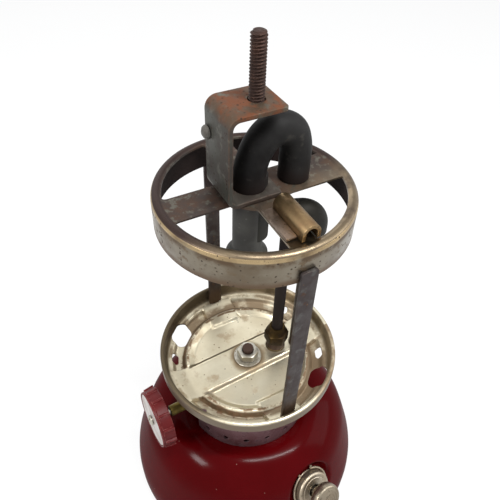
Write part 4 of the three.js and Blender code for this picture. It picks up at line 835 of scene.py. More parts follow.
def pump_cap():
    return lathed("pump_cap_shell", [
        (10.4, 0.3), (11.3, 0.3), (11.5, 0.5), (11.5, 1.4), (11.35, 1.6), (11.35, 3.2), (11.5, 3.4),
    ] + arc(9.9, 5.3, 1.6, 0, 90, 6) + [
        (9.2, 6.75), (8.6, 6.75), (8.3, 6.95), (4.6, 7.0), (4.15, 6.85), (4.0, 6.5), (4, 5.9), (9.1, 5.9),
        (10.4, 4.6),
    ], 96, PUMP, 25)


def pump_clip():
    """The open wire ring around the cap's foot, its two ends turned out at the top."""
    ring, half, ear, steps, ends, height = 12.55, math.radians(20), 2.4, 96, 0.06, 2.2
    points = []
    for i in range(steps + 1):
        share = i / steps
        turn = half + (TURN - 2 * half) * min(max((share - ends) / (1 - 2 * ends), 0), 1)
        out = ring + ear * max(0, (ends - share) / ends, (share - 1 + ends) / ends)
        points.append((-out * math.cos(turn), out * math.sin(turn), height))
    let_go()
    curve = bpy.data.curves.new("pump_clip_wire", "CURVE")
    curve.dimensions = "3D"
    curve.bevel_depth = 0.75 * MM
    curve.bevel_resolution = 4
    curve.use_fill_caps = True
    line = curve.splines.new("POLY")
    line.points.add(len(points) - 1)
    for spot, place in zip(line.points, points):
        spot.co = (*mm(*place), 1)
    wire = bpy.data.objects.new("pump_clip_wire", curve)
    bpy.context.scene.collection.objects.link(wire)
    take(wire)
    bpy.ops.object.convert(target="MESH")
    return smooth(placed(bpy.context.object, PUMP))


def pump_knob():
    return lathed("pump_knob_turned", raised(8.76, [
        (0, 6.3), (2.8, 6.3), (2.8, 0), (4.2, 0), (4.4, 0.3), (4.3, 1.7), (5.0, 2.4), (7.6, 3.3), (8.7, 4.2),
        (9.3, 5.2), (9.5, 6.4), (9.6, 7.6), (9.5, 8.9), (9.1, 9.8), (8.4, 10.3), (8.1, 10.15), (7.7, 10.25),
        (6.6, 10.7), (6.3, 10.5), (5.9, 10.6), (4.8, 11.0), (4.5, 10.8), (4.1, 10.9), (3.0, 11.2),
        (2.7, 11.0), (2.3, 11.1), (1.2, 11.35), (0, 11.4),
    ]), 96, PUMP, 28)


def plunger_rod():
    end, front, bore, bar = -44.6, 14.8, 1.6, 2.5
    return lathed("plunger_rod_turned", [
        (bore, end), (5.3, end), (5.3, end + 1.1), (bar, end + 1.1), (bar, -38.9), (5.6, -38.9), (5.6, -37.8),
        (bar, -37.8), (bar, front), (bore, front),
    ], 40, PUMP)


def plunger_leather():
    return lathed("plunger_cup_leather", raised(-44.6, [
        (2.8, 1.4), (5.6, 1.4), (5.6, 0), (6.6, 0), (6.8, 0.2), (6.8, 5.2), (6.6, 5.4), (2.8, 5.4),
    ]), 48, PUMP)


def pump_barrel():
    end = -50.0
    return lathed("pump_barrel_drawn", [
        (2.9, end), (7.6, end), (8, end + 0.4), (8, 0.3), (10, 0.3), (10, 1.3), (7.1, 1.3), (7.1, end + 0.9),
        (2.9, end + 0.9),
    ], 64, PUMP)


def filler_neck():
    return lathed("filler_neck_turned", [
        (6.6, -5), (10.5, -5), (10.5, 2.7), (10.2, 3), (8.3, 3), (8.3, 12.8), (8.1, 13), (6.6, 13),
    ], 64, FILLER)


def filler_cap():
    """A knurled cap: a many-sided bar whose outline goes in and out, turned and bored."""
    low, high, radius, knurl, ribs, sides = 3.3, 16.6, 12.5, 0.55, 20, 160
    outline = []
    for i in range(sides):
        turn = TURN * i / sides
        r = radius - knurl * (0.5 - 0.5 * math.cos(ribs * turn))
        outline.append((r * math.cos(turn), r * math.sin(turn)))
    cap = prism("filler_cap_knurled", outline, low, high)
    turning = turned("turning", [
        (0, low), (11.9, low), (12.6, low + 0.7), (12.6, high - 1.2), (11.2, high - 0.1), (10.6, high),
        (9.4, high - 0.35), (0, high - 0.35),
    ], 96)
    cut(cap, turning, way="INTERSECT")
    cut(cap, rod("bore", 8.8, low - 1, 14.8, 64))
    return smooth(placed(cap, FILLER), 30)


# Finishes

def new_group(name, outputs=("Mask",), **inputs):
    """An empty node group with a place to look at, the inputs with their usual values, and outputs."""
    tree = bpy.data.node_groups.new(name, "ShaderNodeTree")
    tree.interface.new_socket("Vector", in_out="INPUT", socket_type="NodeSocketVector")
    for label, value in inputs.items():
        kind = "NodeSocketVector" if isinstance(value, tuple) else "NodeSocketFloat"
        tree.interface.new_socket(label, in_out="INPUT", socket_type=kind).default_value = value
    for label in outputs:
        tree.interface.new_socket(label, in_out="OUTPUT", socket_type="NodeSocketFloat")
    start, end = tree.nodes.new("NodeGroupInput"), tree.nodes.new("NodeGroupOutput")
    return tree, start.outputs, end.inputs


def add(tree, kind, inputs=(), **settings):
    """A node with its settings, and its inputs given as numbers or linked from other sockets."""
    node = tree.nodes.new(kind)
    for key, value in settings.items():
        setattr(node, key, value)
    for key, value in dict(inputs).items():
        if isinstance(value, bpy.types.NodeSocket):
            tree.links.new(value, node.inputs[key])
        else:
            node.inputs[key].default_value = value
    return node


def reckon(tree, operation, a, b=0.0):
    return add(tree, "ShaderNodeMath", {0: a, 1: b}, operation=operation).outputs[0]


def noise_at(tree, vector, scale, detail, **more):
    inputs = {"Vector": vector, "Scale": scale, "Detail": detail, **more}
    return add(tree, "ShaderNodeTexNoise", inputs).outputs[0]


def rise(tree, value, low, high, kind="LINEAR"):
    """A mask that is nothing at the low end of a value and all at its high end."""
    inputs = {"Value": value, "From Min": low, "From Max": high}
    return add(tree, "ShaderNodeMapRange", inputs, interpolation_type=kind).outputs[0]


def blotch_group():
    """Soft patches where noise passes a level."""
    tree, given, out = new_group("Blotches", ("Mask", "Height"), Scale=100.0, Detail=5.0, Level=0.55,
                                 Softness=0.08)
    noise = noise_at(tree, given["Vector"], given["Scale"], given["Detail"], Roughness=0.62)
    low = reckon(tree, "SUBTRACT", given["Level"], given["Softness"])
    high = reckon(tree, "ADD", given["Level"], given["Softness"])
    tree.links.new(rise(tree, noise, low, high, "SMOOTHSTEP"), out["Mask"])
    tree.links.new(noise, out["Height"])
    return tree


def speckle_group():
    """Small scattered pits and specks."""
    tree, given, out = new_group("Speckles", Scale=600.0, Size=0.2, Amount=0.5)
    cells = add(tree, "ShaderNodeTexVoronoi", {"Vector": given["Vector"], "Scale": given["Scale"]}).outputs
    gate = rise(tree, noise_at(tree, given["Vector"], 160.0, 3.0), 0.62, 0.42)
    tint = add(tree, "ShaderNodeSeparateColor", {0: cells["Color"]}).outputs
    chosen = reckon(tree, "LESS_THAN", tint[0], given["Amount"])
    dot = rise(tree, cells["Distance"], reckon(tree, "MULTIPLY", given["Size"], tint[1]), 0.0)
    mask = reckon(tree, "MULTIPLY", reckon(tree, "MULTIPLY", dot, chosen), gate)
    strong = add(tree, "ShaderNodeClamp", {0: reckon(tree, "MULTIPLY", mask, 2.2)})
    tree.links.new(strong.outputs[0], out["Mask"])
    return tree


def edge_group():
    """Where a surface turns a corner, broken up by noise."""
    tree, given, out = new_group("Edge wear and shade", Radius=0.0006, Scale=300.0, Level=0.5)
    plain = add(tree, "ShaderNodeNewGeometry")
    round_off = add(tree, "ShaderNodeBevel", {"Radius": given["Radius"]}, samples=6)
    agree = add(tree, "ShaderNodeVectorMath", {0: plain.outputs["Normal"], 1: round_off.outputs[0]},
                operation="DOT_PRODUCT")
    corner = rise(tree, agree.outputs["Value"], 0.995, 0.9)
    rough = rise(tree, noise_at(tree, given["Vector"], given["Scale"], 4.0), given["Level"], 0.62)
    tree.links.new(reckon(tree, "MULTIPLY", corner, rough), out["Mask"])
    return tree


def grain_group():
    """Fine metal grain, stretched by the scale given for each axis."""
    tree, given, out = new_group("Metal grain", ("Height",), Stretch=(1, 1, 1), Scale=900.0)
    pulled = add(tree, "ShaderNodeVectorMath", {0: given["Vector"], 1: given["Stretch"]},
                 operation="MULTIPLY")
    tree.links.new(noise_at(tree, pulled.outputs[0], given["Scale"], 6.0), out["Height"])
    return tree


def measure_group(name, measure, scale, detail, uneven, **more):
    """Rises from nothing to all between two values of a measure of place, with an edge that noise shifts."""
    tree, given, out = new_group(name, Start=0.0, End=0.1, Uneven=uneven, **more)
    noise = noise_at(tree, given["Vector"], scale, detail)
    shift = reckon(tree, "MULTIPLY", reckon(tree, "SUBTRACT", noise, 0.5), given["Uneven"])
    place = reckon(tree, "ADD", measure(tree, given), shift)
    tree.links.new(rise(tree, place, given["Start"], given["End"], "SMOOTHSTEP"), out["Mask"])
    return tree


def height_of(tree, given):
    return add(tree, "ShaderNodeSeparateXYZ", {0: given["Vector"]}).outputs[2]


def distance_from_axis(tree, given):
    flat = add(tree, "ShaderNodeVectorMath", {0: given["Vector"], 1: (1.0, 1.0, 0.0)}, operation="MULTIPLY")
    return add(tree, "ShaderNodeVectorMath", {0: flat.outputs[0]}, operation="LENGTH").outputs["Value"]


def distance_from_band(tree, given):
    turn = math.radians(BAND_TURN)
    aside = (-math.sin(turn), math.cos(turn), 0.0)
    across = add(tree, "ShaderNodeVectorMath", {0: given["Vector"], 1: aside}, operation="DOT_PRODUCT")
    return reckon(tree, "ABSOLUTE", across.outputs["Value"])


def distance_towards(tree, given):
    parts = add(tree, "ShaderNodeSeparateXYZ", {0: given["Vector"]}).outputs
    along_x = reckon(tree, "MULTIPLY", parts[0], reckon(tree, "COSINE", given["Turn"]))
    along_y = reckon(tree, "MULTIPLY", parts[1], reckon(tree, "SINE", given["Turn"]))
    return reckon(tree, "ADD", along_x, along_y)


BLOTCHES = blotch_group()
SPECKLES = speckle_group()
EDGES = edge_group()
GRAIN = grain_group()
LEVEL = measure_group("Height", height_of, 90.0, 4.0, 0.004)
RADIUS = measure_group("Radius", distance_from_axis, 140.0, 5.0, 0.002)
STRIPES = measure_group("Side stripes", distance_from_band, 200.0, 4.0, 0.0012)
TOWARDS = measure_group("Towards one side", distance_towards, 70.0, 4.0, 0.012, Turn=0.0)


class Finish:
    """A finish built up in layers: a base, then stains, wear, painted shade and highlights, and relief. Its
    places are in millimetres.
    """

    def __init__(self, name, slot, colour, roughness, metallic=0.0, specular=0.5):
        self.material = bpy.data.materials.new(name)
        self.material.use_nodes = True
        self.material.diffuse_color = (*colour, 1)
        self.slot = slot
        self.tree = self.material.node_tree
        self.place = self.tree.nodes.new("ShaderNodeTexCoord").outputs["Object"]
        self.inputs = self.tree.nodes["Principled BSDF"].inputs
        self.inputs["Base Color"].default_value = (*colour, 1)
        self.inputs["Roughness"].default_value = roughness
        self.inputs["Metallic"].default_value = metallic
        self.inputs["Specular IOR Level"].default_value = specular

    def group(self, tree, output="Mask", **inputs):
        node = add(self.tree, "ShaderNodeGroup", node_tree=tree)
        self.tree.links.new(self.place, node.inputs["Vector"])
        for key, value in inputs.items():
            node.inputs[key].default_value = value
        return node.outputs[output]

    def blotches(self, scale, level, softness):
        return self.group(BLOTCHES, Scale=scale, Level=level, Softness=softness)

    def speckles(self, scale, size, amount):
        return self.group(SPECKLES, Scale=scale, Size=size, Amount=amount)

    def edges(self, radius, scale, level):
        return self.group(EDGES, Radius=radius * MM, Scale=scale, Level=level)

    def rising(self, tree, start, end, uneven=None, **more):
        """Where a measure of place goes from its start to its end; the other way round, it falls."""
        if uneven is not None:
            more["Uneven"] = uneven * MM
        return self.group(tree, Start=start * MM, End=end * MM, **more)

    def level(self, start, end, uneven):
        return self.rising(LEVEL, start, end, uneven)

    def beyond(self, start, end, uneven):
        return self.rising(RADIUS, start, end, uneven)

    def ring(self, inner, outer):
        """All beyond one radius and none beyond another, each given with its end and unevenness."""
        return self.times(self.beyond(*inner), self.less(self.beyond(*outer)))

    def off_band(self, start, end):
        return self.rising(STRIPES, start, end)

    def towards(self, degrees, start, end):
        return self.rising(TOWARDS, start, end, Turn=math.radians(degrees))

    def times(self, *masks):
        product = masks[0]
        for mask in masks[1:]:
            product = reckon(self.tree, "MULTIPLY", product, mask)
        return product

    def less(self, mask):
        return reckon(self.tree, "SUBTRACT", 1.0, mask)

    def blend(self, name, mask, value):
        socket = self.inputs[name]
        colour = name == "Base Color"
        mix = add(self.tree, "ShaderNodeMix", data_type="RGBA" if colour else "FLOAT")
        share, before, after = [s for s in mix.inputs if s.enabled][:3]
        self.tree.links.new(mask, share)
        if socket.is_linked:
            self.tree.links.new(socket.links[0].from_socket, before)
        else:
            before.default_value = socket.default_value
        after.default_value = (*value, 1) if colour else value
        self.tree.links.new([s for s in mix.outputs if s.enabled][0], socket)

    def layer(self, mask, colour, roughness, metallic=None):
        self.blend("Base Color", mask, colour)
        self.blend("Roughness", mask, roughness)
        if metallic is not None:
            self.blend("Metallic", mask, metallic)

    def relief(self, height, depth, strength):
        inputs = {"Height": height, "Distance": depth * MM, "Strength": strength}
        bump = add(self.tree, "ShaderNodeBump", inputs)
        if self.inputs["Normal"].is_linked:
            self.tree.links.new(self.inputs["Normal"].links[0].from_socket, bump.inputs["Normal"])
        self.tree.links.new(bump.outputs[0], self.inputs["Normal"])
        return self

    def lumps(self, scale, depth, strength):
        return self.relief(self.group(BLOTCHES, "Height", Scale=scale), depth, strength)

    def grain(self, scale, depth, strength, stretch=(1, 1, 1)):
        return self.relief(self.group(GRAIN, "Height", Scale=scale, Stretch=stretch), depth, strength)


def shade(colour, share):
    return tuple(c * share for c in colour)


# Masks are given as blotches(scale, level, softness), speckles(scale, size, amount), edges(radius, scale,
# level), and level or beyond(start, end, unevenness). A layer is a mask, a colour, a roughness and
# sometimes a metallic share.

def enamel():
    f = Finish("Maroon enamel", "maroon_enamel", (0.046, 0.0005, 0.0010), 0.35, specular=0.0)
    f.layer(f.blotches(26, 0.5, 0.2), (0.056, 0.0007, 0.0015), 0.4)
    f.layer(f.speckles(330, 0.14, 0.05), (0.22, 0.12, 0.10), 0.5)
    f.layer(f.edges(0.5, 420, 0.5), (0.05, 0.015, 0.012), 0.5)
    f.layer(f.level(8, 0, 4), (0.06, 0.02, 0.015), 0.55)
    f.inputs["Coat Weight"].default_value = 0.2
    f.inputs["Coat IOR"].default_value = 1.3
    f.inputs["Coat Roughness"].default_value = 0.15
    return f.grain(260, 0.02, 0.2)


def nickel(name, colour, roughness, stain, rust, scale):
    f = Finish(name, "aged_nickel", colour, roughness, 1.0, 0.2)
    f.layer(f.blotches(scale, 0.5, 0.12), stain, roughness + 0.16)
    f.layer(f.blotches(scale * 4.3, 0.62, 0.05), shade(stain, 0.62), roughness + 0.25)
    f.layer(f.speckles(620, 0.42, 0.4), rust, 0.75, 0.2)
    return f.grain(1500, 0.03, 0.35)


def plate_nickel():
    """Tan nickel: dark in its trench, partly dirt and partly painted shade; painted shade on its panels'
    slopes; dark on its wall, and browner to the right.
    """
    f = Finish("Plate nickel", "plate_nickel", (0.66, 0.61, 0.47), 0.34, 1.0, 0.2)
    off_band = f.off_band(10.0, 10.8)
    f.layer(f.blotches(34, 0.52, 0.14), (0.56, 0.50, 0.365), 0.42)
    f.layer(f.blotches(120, 0.62, 0.08), (0.44, 0.36, 0.25), 0.5)

    bead_foot = f.ring((36.2, 37.4, 0.8), (38.5, 39.8, 2))
    f.layer(f.times(off_band, bead_foot, f.blotches(80, 0.30, 0.12)), (0.10, 0.064, 0.036), 0.6, 0.5)
    # Darker on the trench's outer wall and just beyond: partly dirt, partly painted shade.
    trench_edge = f.ring((43.6, 45.2, 3), (46.2, 47.6, 2))
    f.layer(f.times(trench_edge, f.blotches(90, 0.5, 0.12)), (0.24, 0.185, 0.12), 0.5, 0.85)
    # Painted shade: the panels' slopes darker, darkest on the slope on the far side of the band, which faces
    # away.
    slope = f.times(f.off_band(8.9, 9.7), f.less(f.off_band(10.6, 11.6)), f.less(f.beyond(34.5, 36.2, 0.6)))
    f.layer(slope, (0.205, 0.172, 0.122), 0.5, 0.85)
    f.layer(f.times(slope, f.towards(92.5, 1, 4)), (0.115, 0.094, 0.06), 0.55, 0.8)
    rust = f.times(off_band, f.ring((36.2, 37.4, 2), (39.4, 41.0, 3)))
    f.layer(f.times(rust, f.blotches(300, 0.55, 0.06)), (0.13, 0.07, 0.038), 0.75, 0.25)
    # Darker along creases and edges: partly dirt, partly painted shade.
    creases = f.times(f.edges(1.0, 140, 0.26), f.less(f.beyond(46.2, 47.0, 0.3)))
    f.layer(creases, (0.15, 0.105, 0.062), 0.58, 0.65)

    # Darker where the sheet lies low in the trench: partly dirt, partly painted shade.
    floor_dirt_and_shade = f.times(f.level(104.6, 103.6, 0.5), off_band, f.beyond(37.2, 38.2, 1))
    f.layer(f.times(floor_dirt_and_shade, f.blotches(45, 0.49, 0.08)), (0.24, 0.18, 0.115), 0.55, 0.75)
    f.layer(f.less(f.beyond(8.6, 12.5, 4)), (0.24, 0.18, 0.11), 0.55, 0.75)
    f.layer(f.speckles(560, 0.34, 0.3), (0.13, 0.085, 0.045), 0.75, 0.3)
    bead_line = f.times(f.ring((34.5, 35.2, 1), (36.0, 37.0, 1)), off_band)
    f.layer(f.times(bead_line, f.blotches(210, 0.49, 0.06)), (0.19, 0.125, 0.075), 0.65, 0.5)
    right = f.times(f.towards(-15, 18, 36), f.beyond(34.5, 37.5, 3), off_band)
    f.layer(f.times(right, f.blotches(60, 0.42, 0.16)), (0.20, 0.145, 0.09), 0.58, 0.65)

    wall = f.ring((46.4, 48.0, 1), (48.5, 48.9, 0.4))
    f.layer(wall, (0.16, 0.125, 0.08), 0.5, 0.8)
    f.layer(f.times(wall, f.blotches(70, 0.5, 0.1)), (0.29, 0.23, 0.15), 0.46, 0.85)
    f.layer(f.times(f.beyond(46.2, 47.8, 0.5), f.towards(150, 4, 26)), (0.095, 0.073, 0.046), 0.5, 0.85)
    skirt = f.times(f.beyond(50.4, 50.8, 0.2), f.less(f.level(113.8, 114.6, 0.8)))
    f.layer(skirt, (0.165, 0.13, 0.092), 0.46, 0.9)
    return f.grain(1500, 0.03, 0.35)


def bracket_steel():
    """Grey-green steel with fine upright streaks, rusty round the stud and along its edges."""
    f = Finish("Bracket steel", "stained_steel", (0.066, 0.066, 0.056), 0.5, 0.75, 0.2)
    f.layer(f.blotches(60, 0.5, 0.14), (0.058, 0.050, 0.044), 0.58)
    f.layer(f.blotches(170, 0.6, 0.07), (0.115, 0.112, 0.095), 0.5)
    f.layer(f.edges(0.9, 300, 0.36), (0.13, 0.068, 0.04), 0.6, 0.5)
    top = f.level(266.0, 270.4, 3)
    f.layer(top, (0.075, 0.046, 0.029), 0.58, 0.6)
    f.layer(f.times(top, f.blotches(105, 0.5, 0.08)), (0.105, 0.036, 0.015), 0.72, 0.25)
    f.layer(f.times(top, f.blotches(160, 0.6, 0.08)), (0.085, 0.078, 0.058), 0.5, 0.8)
    f.layer(f.level(233.5, 230.0, 3), (0.052, 0.036, 0.028), 0.62, 0.5)
    f.layer(f.speckles(700, 0.5, 0.5), (0.03, 0.018, 0.012), 0.85, 0.1)
    return f.grain(1100, 0.08, 0.7, (1, 1, 0.12))


def ring_nickel():
    """Tan outside, with a painted highlight as a gold line round the top; nearly black inside, with a painted
    highlight that makes the rim lighter at the front.
    """
    f = Finish("Ring nickel", "aged_nickel", (0.215, 0.187, 0.142), 0.3, 1.0, 0.15)
    f.layer(f.blotches(48, 0.5, 0.14), (0.145, 0.115, 0.080), 0.38)
    f.layer(f.blotches(210, 0.6, 0.06), (0.15, 0.11, 0.07), 0.48, 0.85)
    f.layer(f.level(218.0, 214.5, 4), (0.125, 0.082, 0.05), 0.45, 0.85)
    f.layer(f.times(f.level(223.6, 226.2, 2), f.blotches(130, 0.45, 0.1)), (0.10, 0.068, 0.042), 0.5, 0.8)
    # Painted highlight: a gold line round the bead's outer shoulder, where it catches the light.
    f.layer(f.times(f.level(226.9, 227.7, 1), f.blotches(30, 0.44, 0.14)), (0.42, 0.31, 0.17), 0.24)
    f.layer(f.speckles(640, 0.5, 0.6), (0.035, 0.022, 0.015), 0.8, 0.1)
    inside = f.less(f.beyond(43.9, 44.3, 0.1))
    f.layer(inside, (0.013, 0.0075, 0.0065), 0.75, 0.1)
    top = f.times(inside, f.level(227.9, 228.4, 0.2))
    f.layer(top, (0.044, 0.034, 0.030), 0.5, 0.7)
    f.layer(f.times(top, f.blotches(75, 0.5, 0.1)), (0.062, 0.037, 0.026), 0.62, 0.5)
    f.layer(f.times(top, f.blotches(240, 0.58, 0.06)), (0.10, 0.092, 0.075), 0.5, 0.8)
    f.layer(f.times(top, f.beyond(40.0, 41.2, 0.6)), (0.034, 0.022, 0.019), 0.5, 0.7)
    # Painted highlight: the rim's top lighter and fully metallic towards the front.
    front = f.times(top, f.towards(-75, 4, 30), f.blotches(55, 0.40, 0.16))
    f.layer(front, (0.20, 0.155, 0.10), 0.3, 1.0)
    return f.grain(1300, 0.05, 0.5)


def dark_steel():
    f = Finish("Dark steel", "dark_steel", (0.054, 0.045, 0.044), 0.45, 0.75, 0.2)
    f.layer(f.blotches(60, 0.5, 0.12), (0.038, 0.027, 0.026), 0.55)
    f.layer(f.blotches(170, 0.6, 0.07), (0.082, 0.078, 0.075), 0.5)
    f.layer(f.blotches(120, 0.66, 0.04), (0.075, 0.04, 0.025), 0.75, 0.4)
    f.layer(f.level(128, 108, 12), (0.07, 0.042, 0.022), 0.62, 0.5)
    f.layer(f.speckles(600, 0.4, 0.4), (0.12, 0.07, 0.04), 0.8, 0.2)
    f.layer(f.edges(0.4, 300, 0.42), (0.03, 0.018, 0.014), 0.6, 0.4)
    return f.grain(900, 0.06, 0.6, (1, 1, 0.2))


def burnt_iron():
    f = Finish("Burnt iron", "burnt_iron", (0.005, 0.0045, 0.0046), 0.55, 0.0, 0.12)
    f.layer(f.blotches(70, 0.5, 0.16), (0.013, 0.0125, 0.012), 0.6)
    f.layer(f.blotches(190, 0.64, 0.06), (0.028, 0.026, 0.023), 0.7)
    f.layer(f.level(243, 230, 10), (0.012, 0.008, 0.007), 0.66)
    f.layer(f.speckles(500, 0.3, 0.25), (0.04, 0.032, 0.025), 0.85)
    return f.lumps(420, 0.12, 0.6).grain(1600, 0.05, 0.5)


def grey_iron(name, colour, light, soot):
    f = Finish(name, "burnt_iron", colour, 0.6, 0.2, 0.25)
    f.layer(f.blotches(60, 0.52, 0.14), light, 0.65)
    f.layer(f.level(217.5, 229.0, 8), soot, 0.7)
    f.layer(f.speckles(420, 0.4, 0.4), shade(light, 1.7), 0.85)
    return f.lumps(500, 0.12, 0.6)


def rusty_steel(name, colour, dark, worn):
    f = Finish(name, "rusty_steel", colour, 0.55, 0.4, 0.25)
    f.layer(f.blotches(140, 0.5, 0.1), dark, 0.7, 0.3)
    f.layer(f.edges(0.4, 500, 0.4), worn, 0.5, 0.6)
    return f.grain(1400, 0.08, 0.6)


def brass(name, slot, colour, dark, roughness, level):
    f = Finish(name, slot, colour, roughness, 1.0, 0.25)
    f.layer(f.blotches(90, level, 0.14), dark, roughness + 0.15)
    f.layer(f.blotches(320, 0.62, 0.05), shade(dark, 0.6), roughness + 0.25, 0.7)
    return f.grain(1400, 0.04, 0.4)


def body_brass():
    """The valve's brass: its stud, which stands through the plate, is rusty dark brown."""
    f = brass("Valve brass", "brass", (0.30, 0.22, 0.11), (0.18, 0.125, 0.065), 0.42, 0.5)
    f.layer(f.level(103.0, 104.0, 0.4), (0.05, 0.028, 0.02), 0.6, 0.4)
    return f


def zinc():
    f = Finish("Dull zinc", "zinc", (0.47, 0.45, 0.39), 0.36, 1.0, 0.25)
    f.layer(f.blotches(150, 0.52, 0.1), (0.29, 0.265, 0.215), 0.5)
    f.layer(f.edges(0.4, 300, 0.4), (0.60, 0.58, 0.52), 0.35)
    f.layer(f.speckles(900, 0.4, 0.4), (0.14, 0.08, 0.045), 0.7, 0.4)
    return f.grain(1700, 0.03, 0.4)


def disc_silver():
    f = Finish("Disc silver", "zinc", (0.52, 0.49, 0.46), 0.3, 1.0, 0.25)
    f.layer(f.blotches(110, 0.5, 0.14), (0.42, 0.36, 0.335), 0.4)
    f.layer(f.speckles(700, 0.3, 0.3), (0.20, 0.12, 0.10), 0.6, 0.5)
    return f.grain(1700, 0.03, 0.4)


def red_plastic():
    f = Finish("Red moulding", "red_plastic", (0.086, 0.007, 0.007), 0.4, specular=0.15)
    f.layer(f.blotches(70, 0.52, 0.16), (0.068, 0.005, 0.006), 0.46)
    f.layer(f.edges(0.5, 500, 0.36), (0.34, 0.12, 0.11), 0.5)
    return f.grain(700, 0.03, 0.3)


def leather():
    f = Finish("Cup leather", "leather", (0.11, 0.05, 0.025), 0.75)
    f.layer(f.blotches(260, 0.5, 0.1), (0.07, 0.03, 0.016), 0.65)
    return f.lumps(1500, 0.1, 0.6)


def rubber():
    f = Finish("Black rubber", "rubber", (0.018, 0.018, 0.018), 0.75)
    f.layer(f.blotches(300, 0.55, 0.1), (0.035, 0.033, 0.03), 0.85)
    return f.grain(1800, 0.05, 0.5)


# Assembly

def fit(piece, finish, body, node):
    """Gives a piece its finish, lets it ride on a body and stand for its node."""
    piece.data.materials.clear()
    piece.data.materials.append(finish.material)
    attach(piece, body)
    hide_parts(node)


def keep(node, finish):
    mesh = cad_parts[node].data
    mesh.materials.clear()
    mesh.materials.append(finish.material)


def build_lantern():
    maroon = enamel()
    pink = nickel("Collar nickel", (0.28, 0.175, 0.185), 0.36, (0.20, 0.118, 0.128), (0.05, 0.02, 0.015), 60)
    knob = nickel("Knob nickel", (0.29, 0.25, 0.19), 0.32, (0.22, 0.18, 0.13), (0.12, 0.08, 0.05), 80)
    light = nickel("Pump nickel", (0.47, 0.415, 0.33), 0.32, (0.33, 0.275, 0.205), (0.12, 0.08, 0.05), 80)
    flange = nickel("Flange nickel", (0.30, 0.235, 0.19), 0.36, (0.18, 0.13, 0.095), (0.06, 0.03, 0.02), 120)
    dark = dark_steel()
    black = burnt_iron()
    grey = grey_iron("Grey iron", (0.040, 0.038, 0.034), (0.062, 0.060, 0.053), (0.014, 0.010, 0.009))
    sooty = grey_iron("Olive iron", (0.013, 0.012, 0.009), (0.022, 0.020, 0.015), (0.008, 0.006, 0.005))
    rust = rusty_steel("Stud rust", (0.034, 0.015, 0.010), (0.020, 0.009, 0.006), (0.085, 0.045, 0.03))
    lump = rusty_steel("Grey screw", (0.105, 0.10, 0.088), (0.06, 0.052, 0.045), (0.16, 0.15, 0.13))
    tan = brass("Tan brass", "brass", (0.28, 0.195, 0.10), (0.19, 0.12, 0.062), 0.34, 0.54)
    dull = brass("Dull brass", "brass", (0.32, 0.235, 0.12), (0.19, 0.13, 0.065), 0.42, 0.5)
    olive = brass("Old brass", "old_brass", (0.19, 0.145, 0.04), (0.10, 0.072, 0.022), 0.45, 0.52)
    burnt = brass("Burnt brass", "old_brass", (0.062, 0.040, 0.014), (0.026, 0.016, 0.008), 0.42, 0.47)
    silver = zinc()

    for build, finish, body, node in (
        (fount_shell, maroon, "lantern", "fount_shell"),
        (fount_pan, maroon, "lantern", "fount_pan"),
        (collar, pink, "lantern", "collar"),
        (globe_plate, plate_nickel(), "lantern", "globe_plate"),
        (plate_washer, silver, "lantern", "plate_washer"),
        (plate_nut, silver, "lantern", "plate_nut"),
        (front_leg, dark, "lantern", "leg_front"),
        (back_leg, dark, "lantern", "leg_back"),
        (top_ring, ring_nickel(), "lantern", "top_ring"),
        (bracket, bracket_steel(), "lantern", "bracket"),
        (bracket_screw, lump, "lantern", "bracket_screw"),
        (ventilator_stud, rust, "lantern", "ventilator_stud"),
        (return_tube, black, "lantern", "return_tube"),
        (burner_tube, grey, "lantern", "burner_tube"),
        (mixing_elbow, sooty, "lantern", "mixing_elbow"),
        (air_tube, dark, "lantern", "air_tube"),
        (channel_rib, tan, "lantern", "spoke_channel"),
        (channel_flange, flange, "lantern", "spoke_channel"),
        (generator_tube, black, "lantern", "generator_tube"),
        (generator_nut, burnt, "lantern", "generator_nut"),
        (packing_nut, olive, "lantern", "packing_nut"),
        (valve_stem, olive, "valve", "valve_stem"),
        (valve_wheel, red_plastic(), "valve", "valve_wheel"),
        (wheel_disc, disc_silver(), "valve", "wheel_disc"),
        (wheel_screw, silver, "valve", "wheel_screw"),
        (pump_barrel, dull, "lantern", "pump_barrel"),
        (pump_cap, light, "lantern", "pump_cap"),
        (pump_clip, light, "lantern", "pump_clip"),
        (plunger_rod, light, "pump_rod", "plunger_rod"),
        (plunger_leather, leather(), "plunger_cup", "plunger_leather"),
        (pump_knob, knob, "pump_rod", "pump_knob"),
        (filler_neck, dull, "lantern", "filler_neck"),
        (filler_cap, light, "fuel_cap", "filler_cap"),
    ):
        fit(build(), finish, body, node)
    for node, finish in (
        ("burner_screen", dark), ("generator_tip", dull), ("valve_body", body_brass()), ("fuel_tube", dull),
        ("bracket_nut", rust), ("air_stem", dull), ("check_valve", dull), ("filler_gasket", rubber()),
    ):
        keep(node, finish)


# Floor, light and camera

def seen(tree):
    """Where the camera, a gloss or a glass looks, rather than soft light."""
    path = tree.nodes.new("ShaderNodeLightPath").outputs
    mirrored = reckon(tree, "MAXIMUM", path["Is Glossy Ray"], path["Is Transmission Ray"])
    return reckon(tree, "MAXIMUM", path["Is Camera Ray"], mirrored)


def mixed(tree, share, plain, white, end):
    mix = add(tree, "ShaderNodeMixShader", {0: share, 1: plain.outputs[0], 2: white.outputs[0]})
    tree.links.new(mix.outputs[0], tree.nodes[end].inputs["Surface"])


def floor():
    side, glow = 6, 0.82
    let_go()
    bpy.ops.mesh.primitive_plane_add(size=side, location=(0, 0, 0))
    ground = settle(named("studio_floor"))
    material = bpy.data.materials.new("Studio floor")
    material.use_nodes = True
    tree = material.node_tree
    paint = tree.nodes["Principled BSDF"]
    paint.inputs["Base Color"].default_value = (0.86, 0.86, 0.86, 1)
    paint.inputs["Roughness"].default_value = 0.9
    paint.inputs["Specular IOR Level"].default_value = 0.1
    white = add(tree, "ShaderNodeEmission", {"Color": (1, 1, 1, 1), "Strength": 1.0})
    mixed(tree, reckon(tree, "MULTIPLY", seen(tree), glow), paint, white, "Material Output")
    ground.data.materials.append(material)


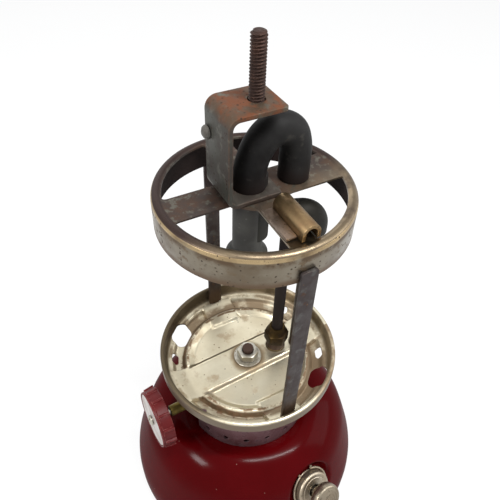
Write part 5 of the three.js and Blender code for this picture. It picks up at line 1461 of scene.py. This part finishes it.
def sky():
    world = bpy.data.worlds.new("Studio")
    bpy.context.scene.world = world
    world.use_nodes = True
    tree = world.node_tree
    soft = tree.nodes["Background"]
    soft.inputs["Color"].default_value = (0.96, 0.98, 1.0, 1)
    soft.inputs["Strength"].default_value = 0.55
    white = add(tree, "ShaderNodeBackground", {"Color": (1, 1, 1, 1), "Strength": 1.0})
    mixed(tree, seen(tree), soft, white, "World Output")


# Each lamp: its name, place, what it aims at, width, height, power and roll in degrees.
LAMPS = (
    ("Window", (-0.702, -0.122, 0.668), (-0.046, -0.026, 0.058), 0.20, 0.16, 5.0, 0),
    ("Tube lamp", (0.16, -0.30, 0.90), (0, -0.046, 0.061), 0.56, 0.030, 8.0, -57),
    ("Right", (0.95, -0.35, 0.55), (0, 0, 0.12), 0.7, 0.7, 3.4, 0),
    ("Back", (0.1, 0.9, 0.8), (0, 0, 0.15), 1.0, 0.6, 2.6, 0),
)


def softbox(name, place, aim, width, height, power, roll):
    lamp = bpy.data.lights.new(name, "AREA")
    lamp.shape = "RECTANGLE"
    lamp.size = width
    lamp.size_y = height
    lamp.energy = power
    box = bpy.data.objects.new(name, lamp)
    bpy.context.scene.collection.objects.link(box)
    box.location = place
    turn = (Vector(aim) - Vector(place)).to_track_quat("-Z", "Y").to_matrix()
    box.rotation_euler = (turn @ around("Z", roll).to_3x3()).to_euler()


def camera():
    """The camera as solved from the photo's round and upright shapes."""
    place = (-0.089115, -0.154352, 0.36410)
    heading, tilt, roll = -0.5178, math.pi / 2 - 0.7695, 0.0391
    lens = bpy.data.cameras.new("Camera")
    lens.lens = 37.09
    lens.sensor_width = 36
    lens.sensor_fit = "HORIZONTAL"
    eye = bpy.data.objects.new("Camera", lens)
    bpy.context.scene.collection.objects.link(eye)
    turns = [Matrix.Rotation(angle, 4, axis) for angle, axis in ((heading, "Z"), (tilt, "X"), (roll, "Z"))]
    eye.matrix_world = Matrix.Translation(place) @ turns[0] @ turns[1] @ turns[2]
    bpy.context.scene.camera = eye


build_lantern()
floor()
sky()
for settings in LAMPS:
    softbox(*settings)
camera()
bpy.context.scene.view_settings.view_transform = "Standard"
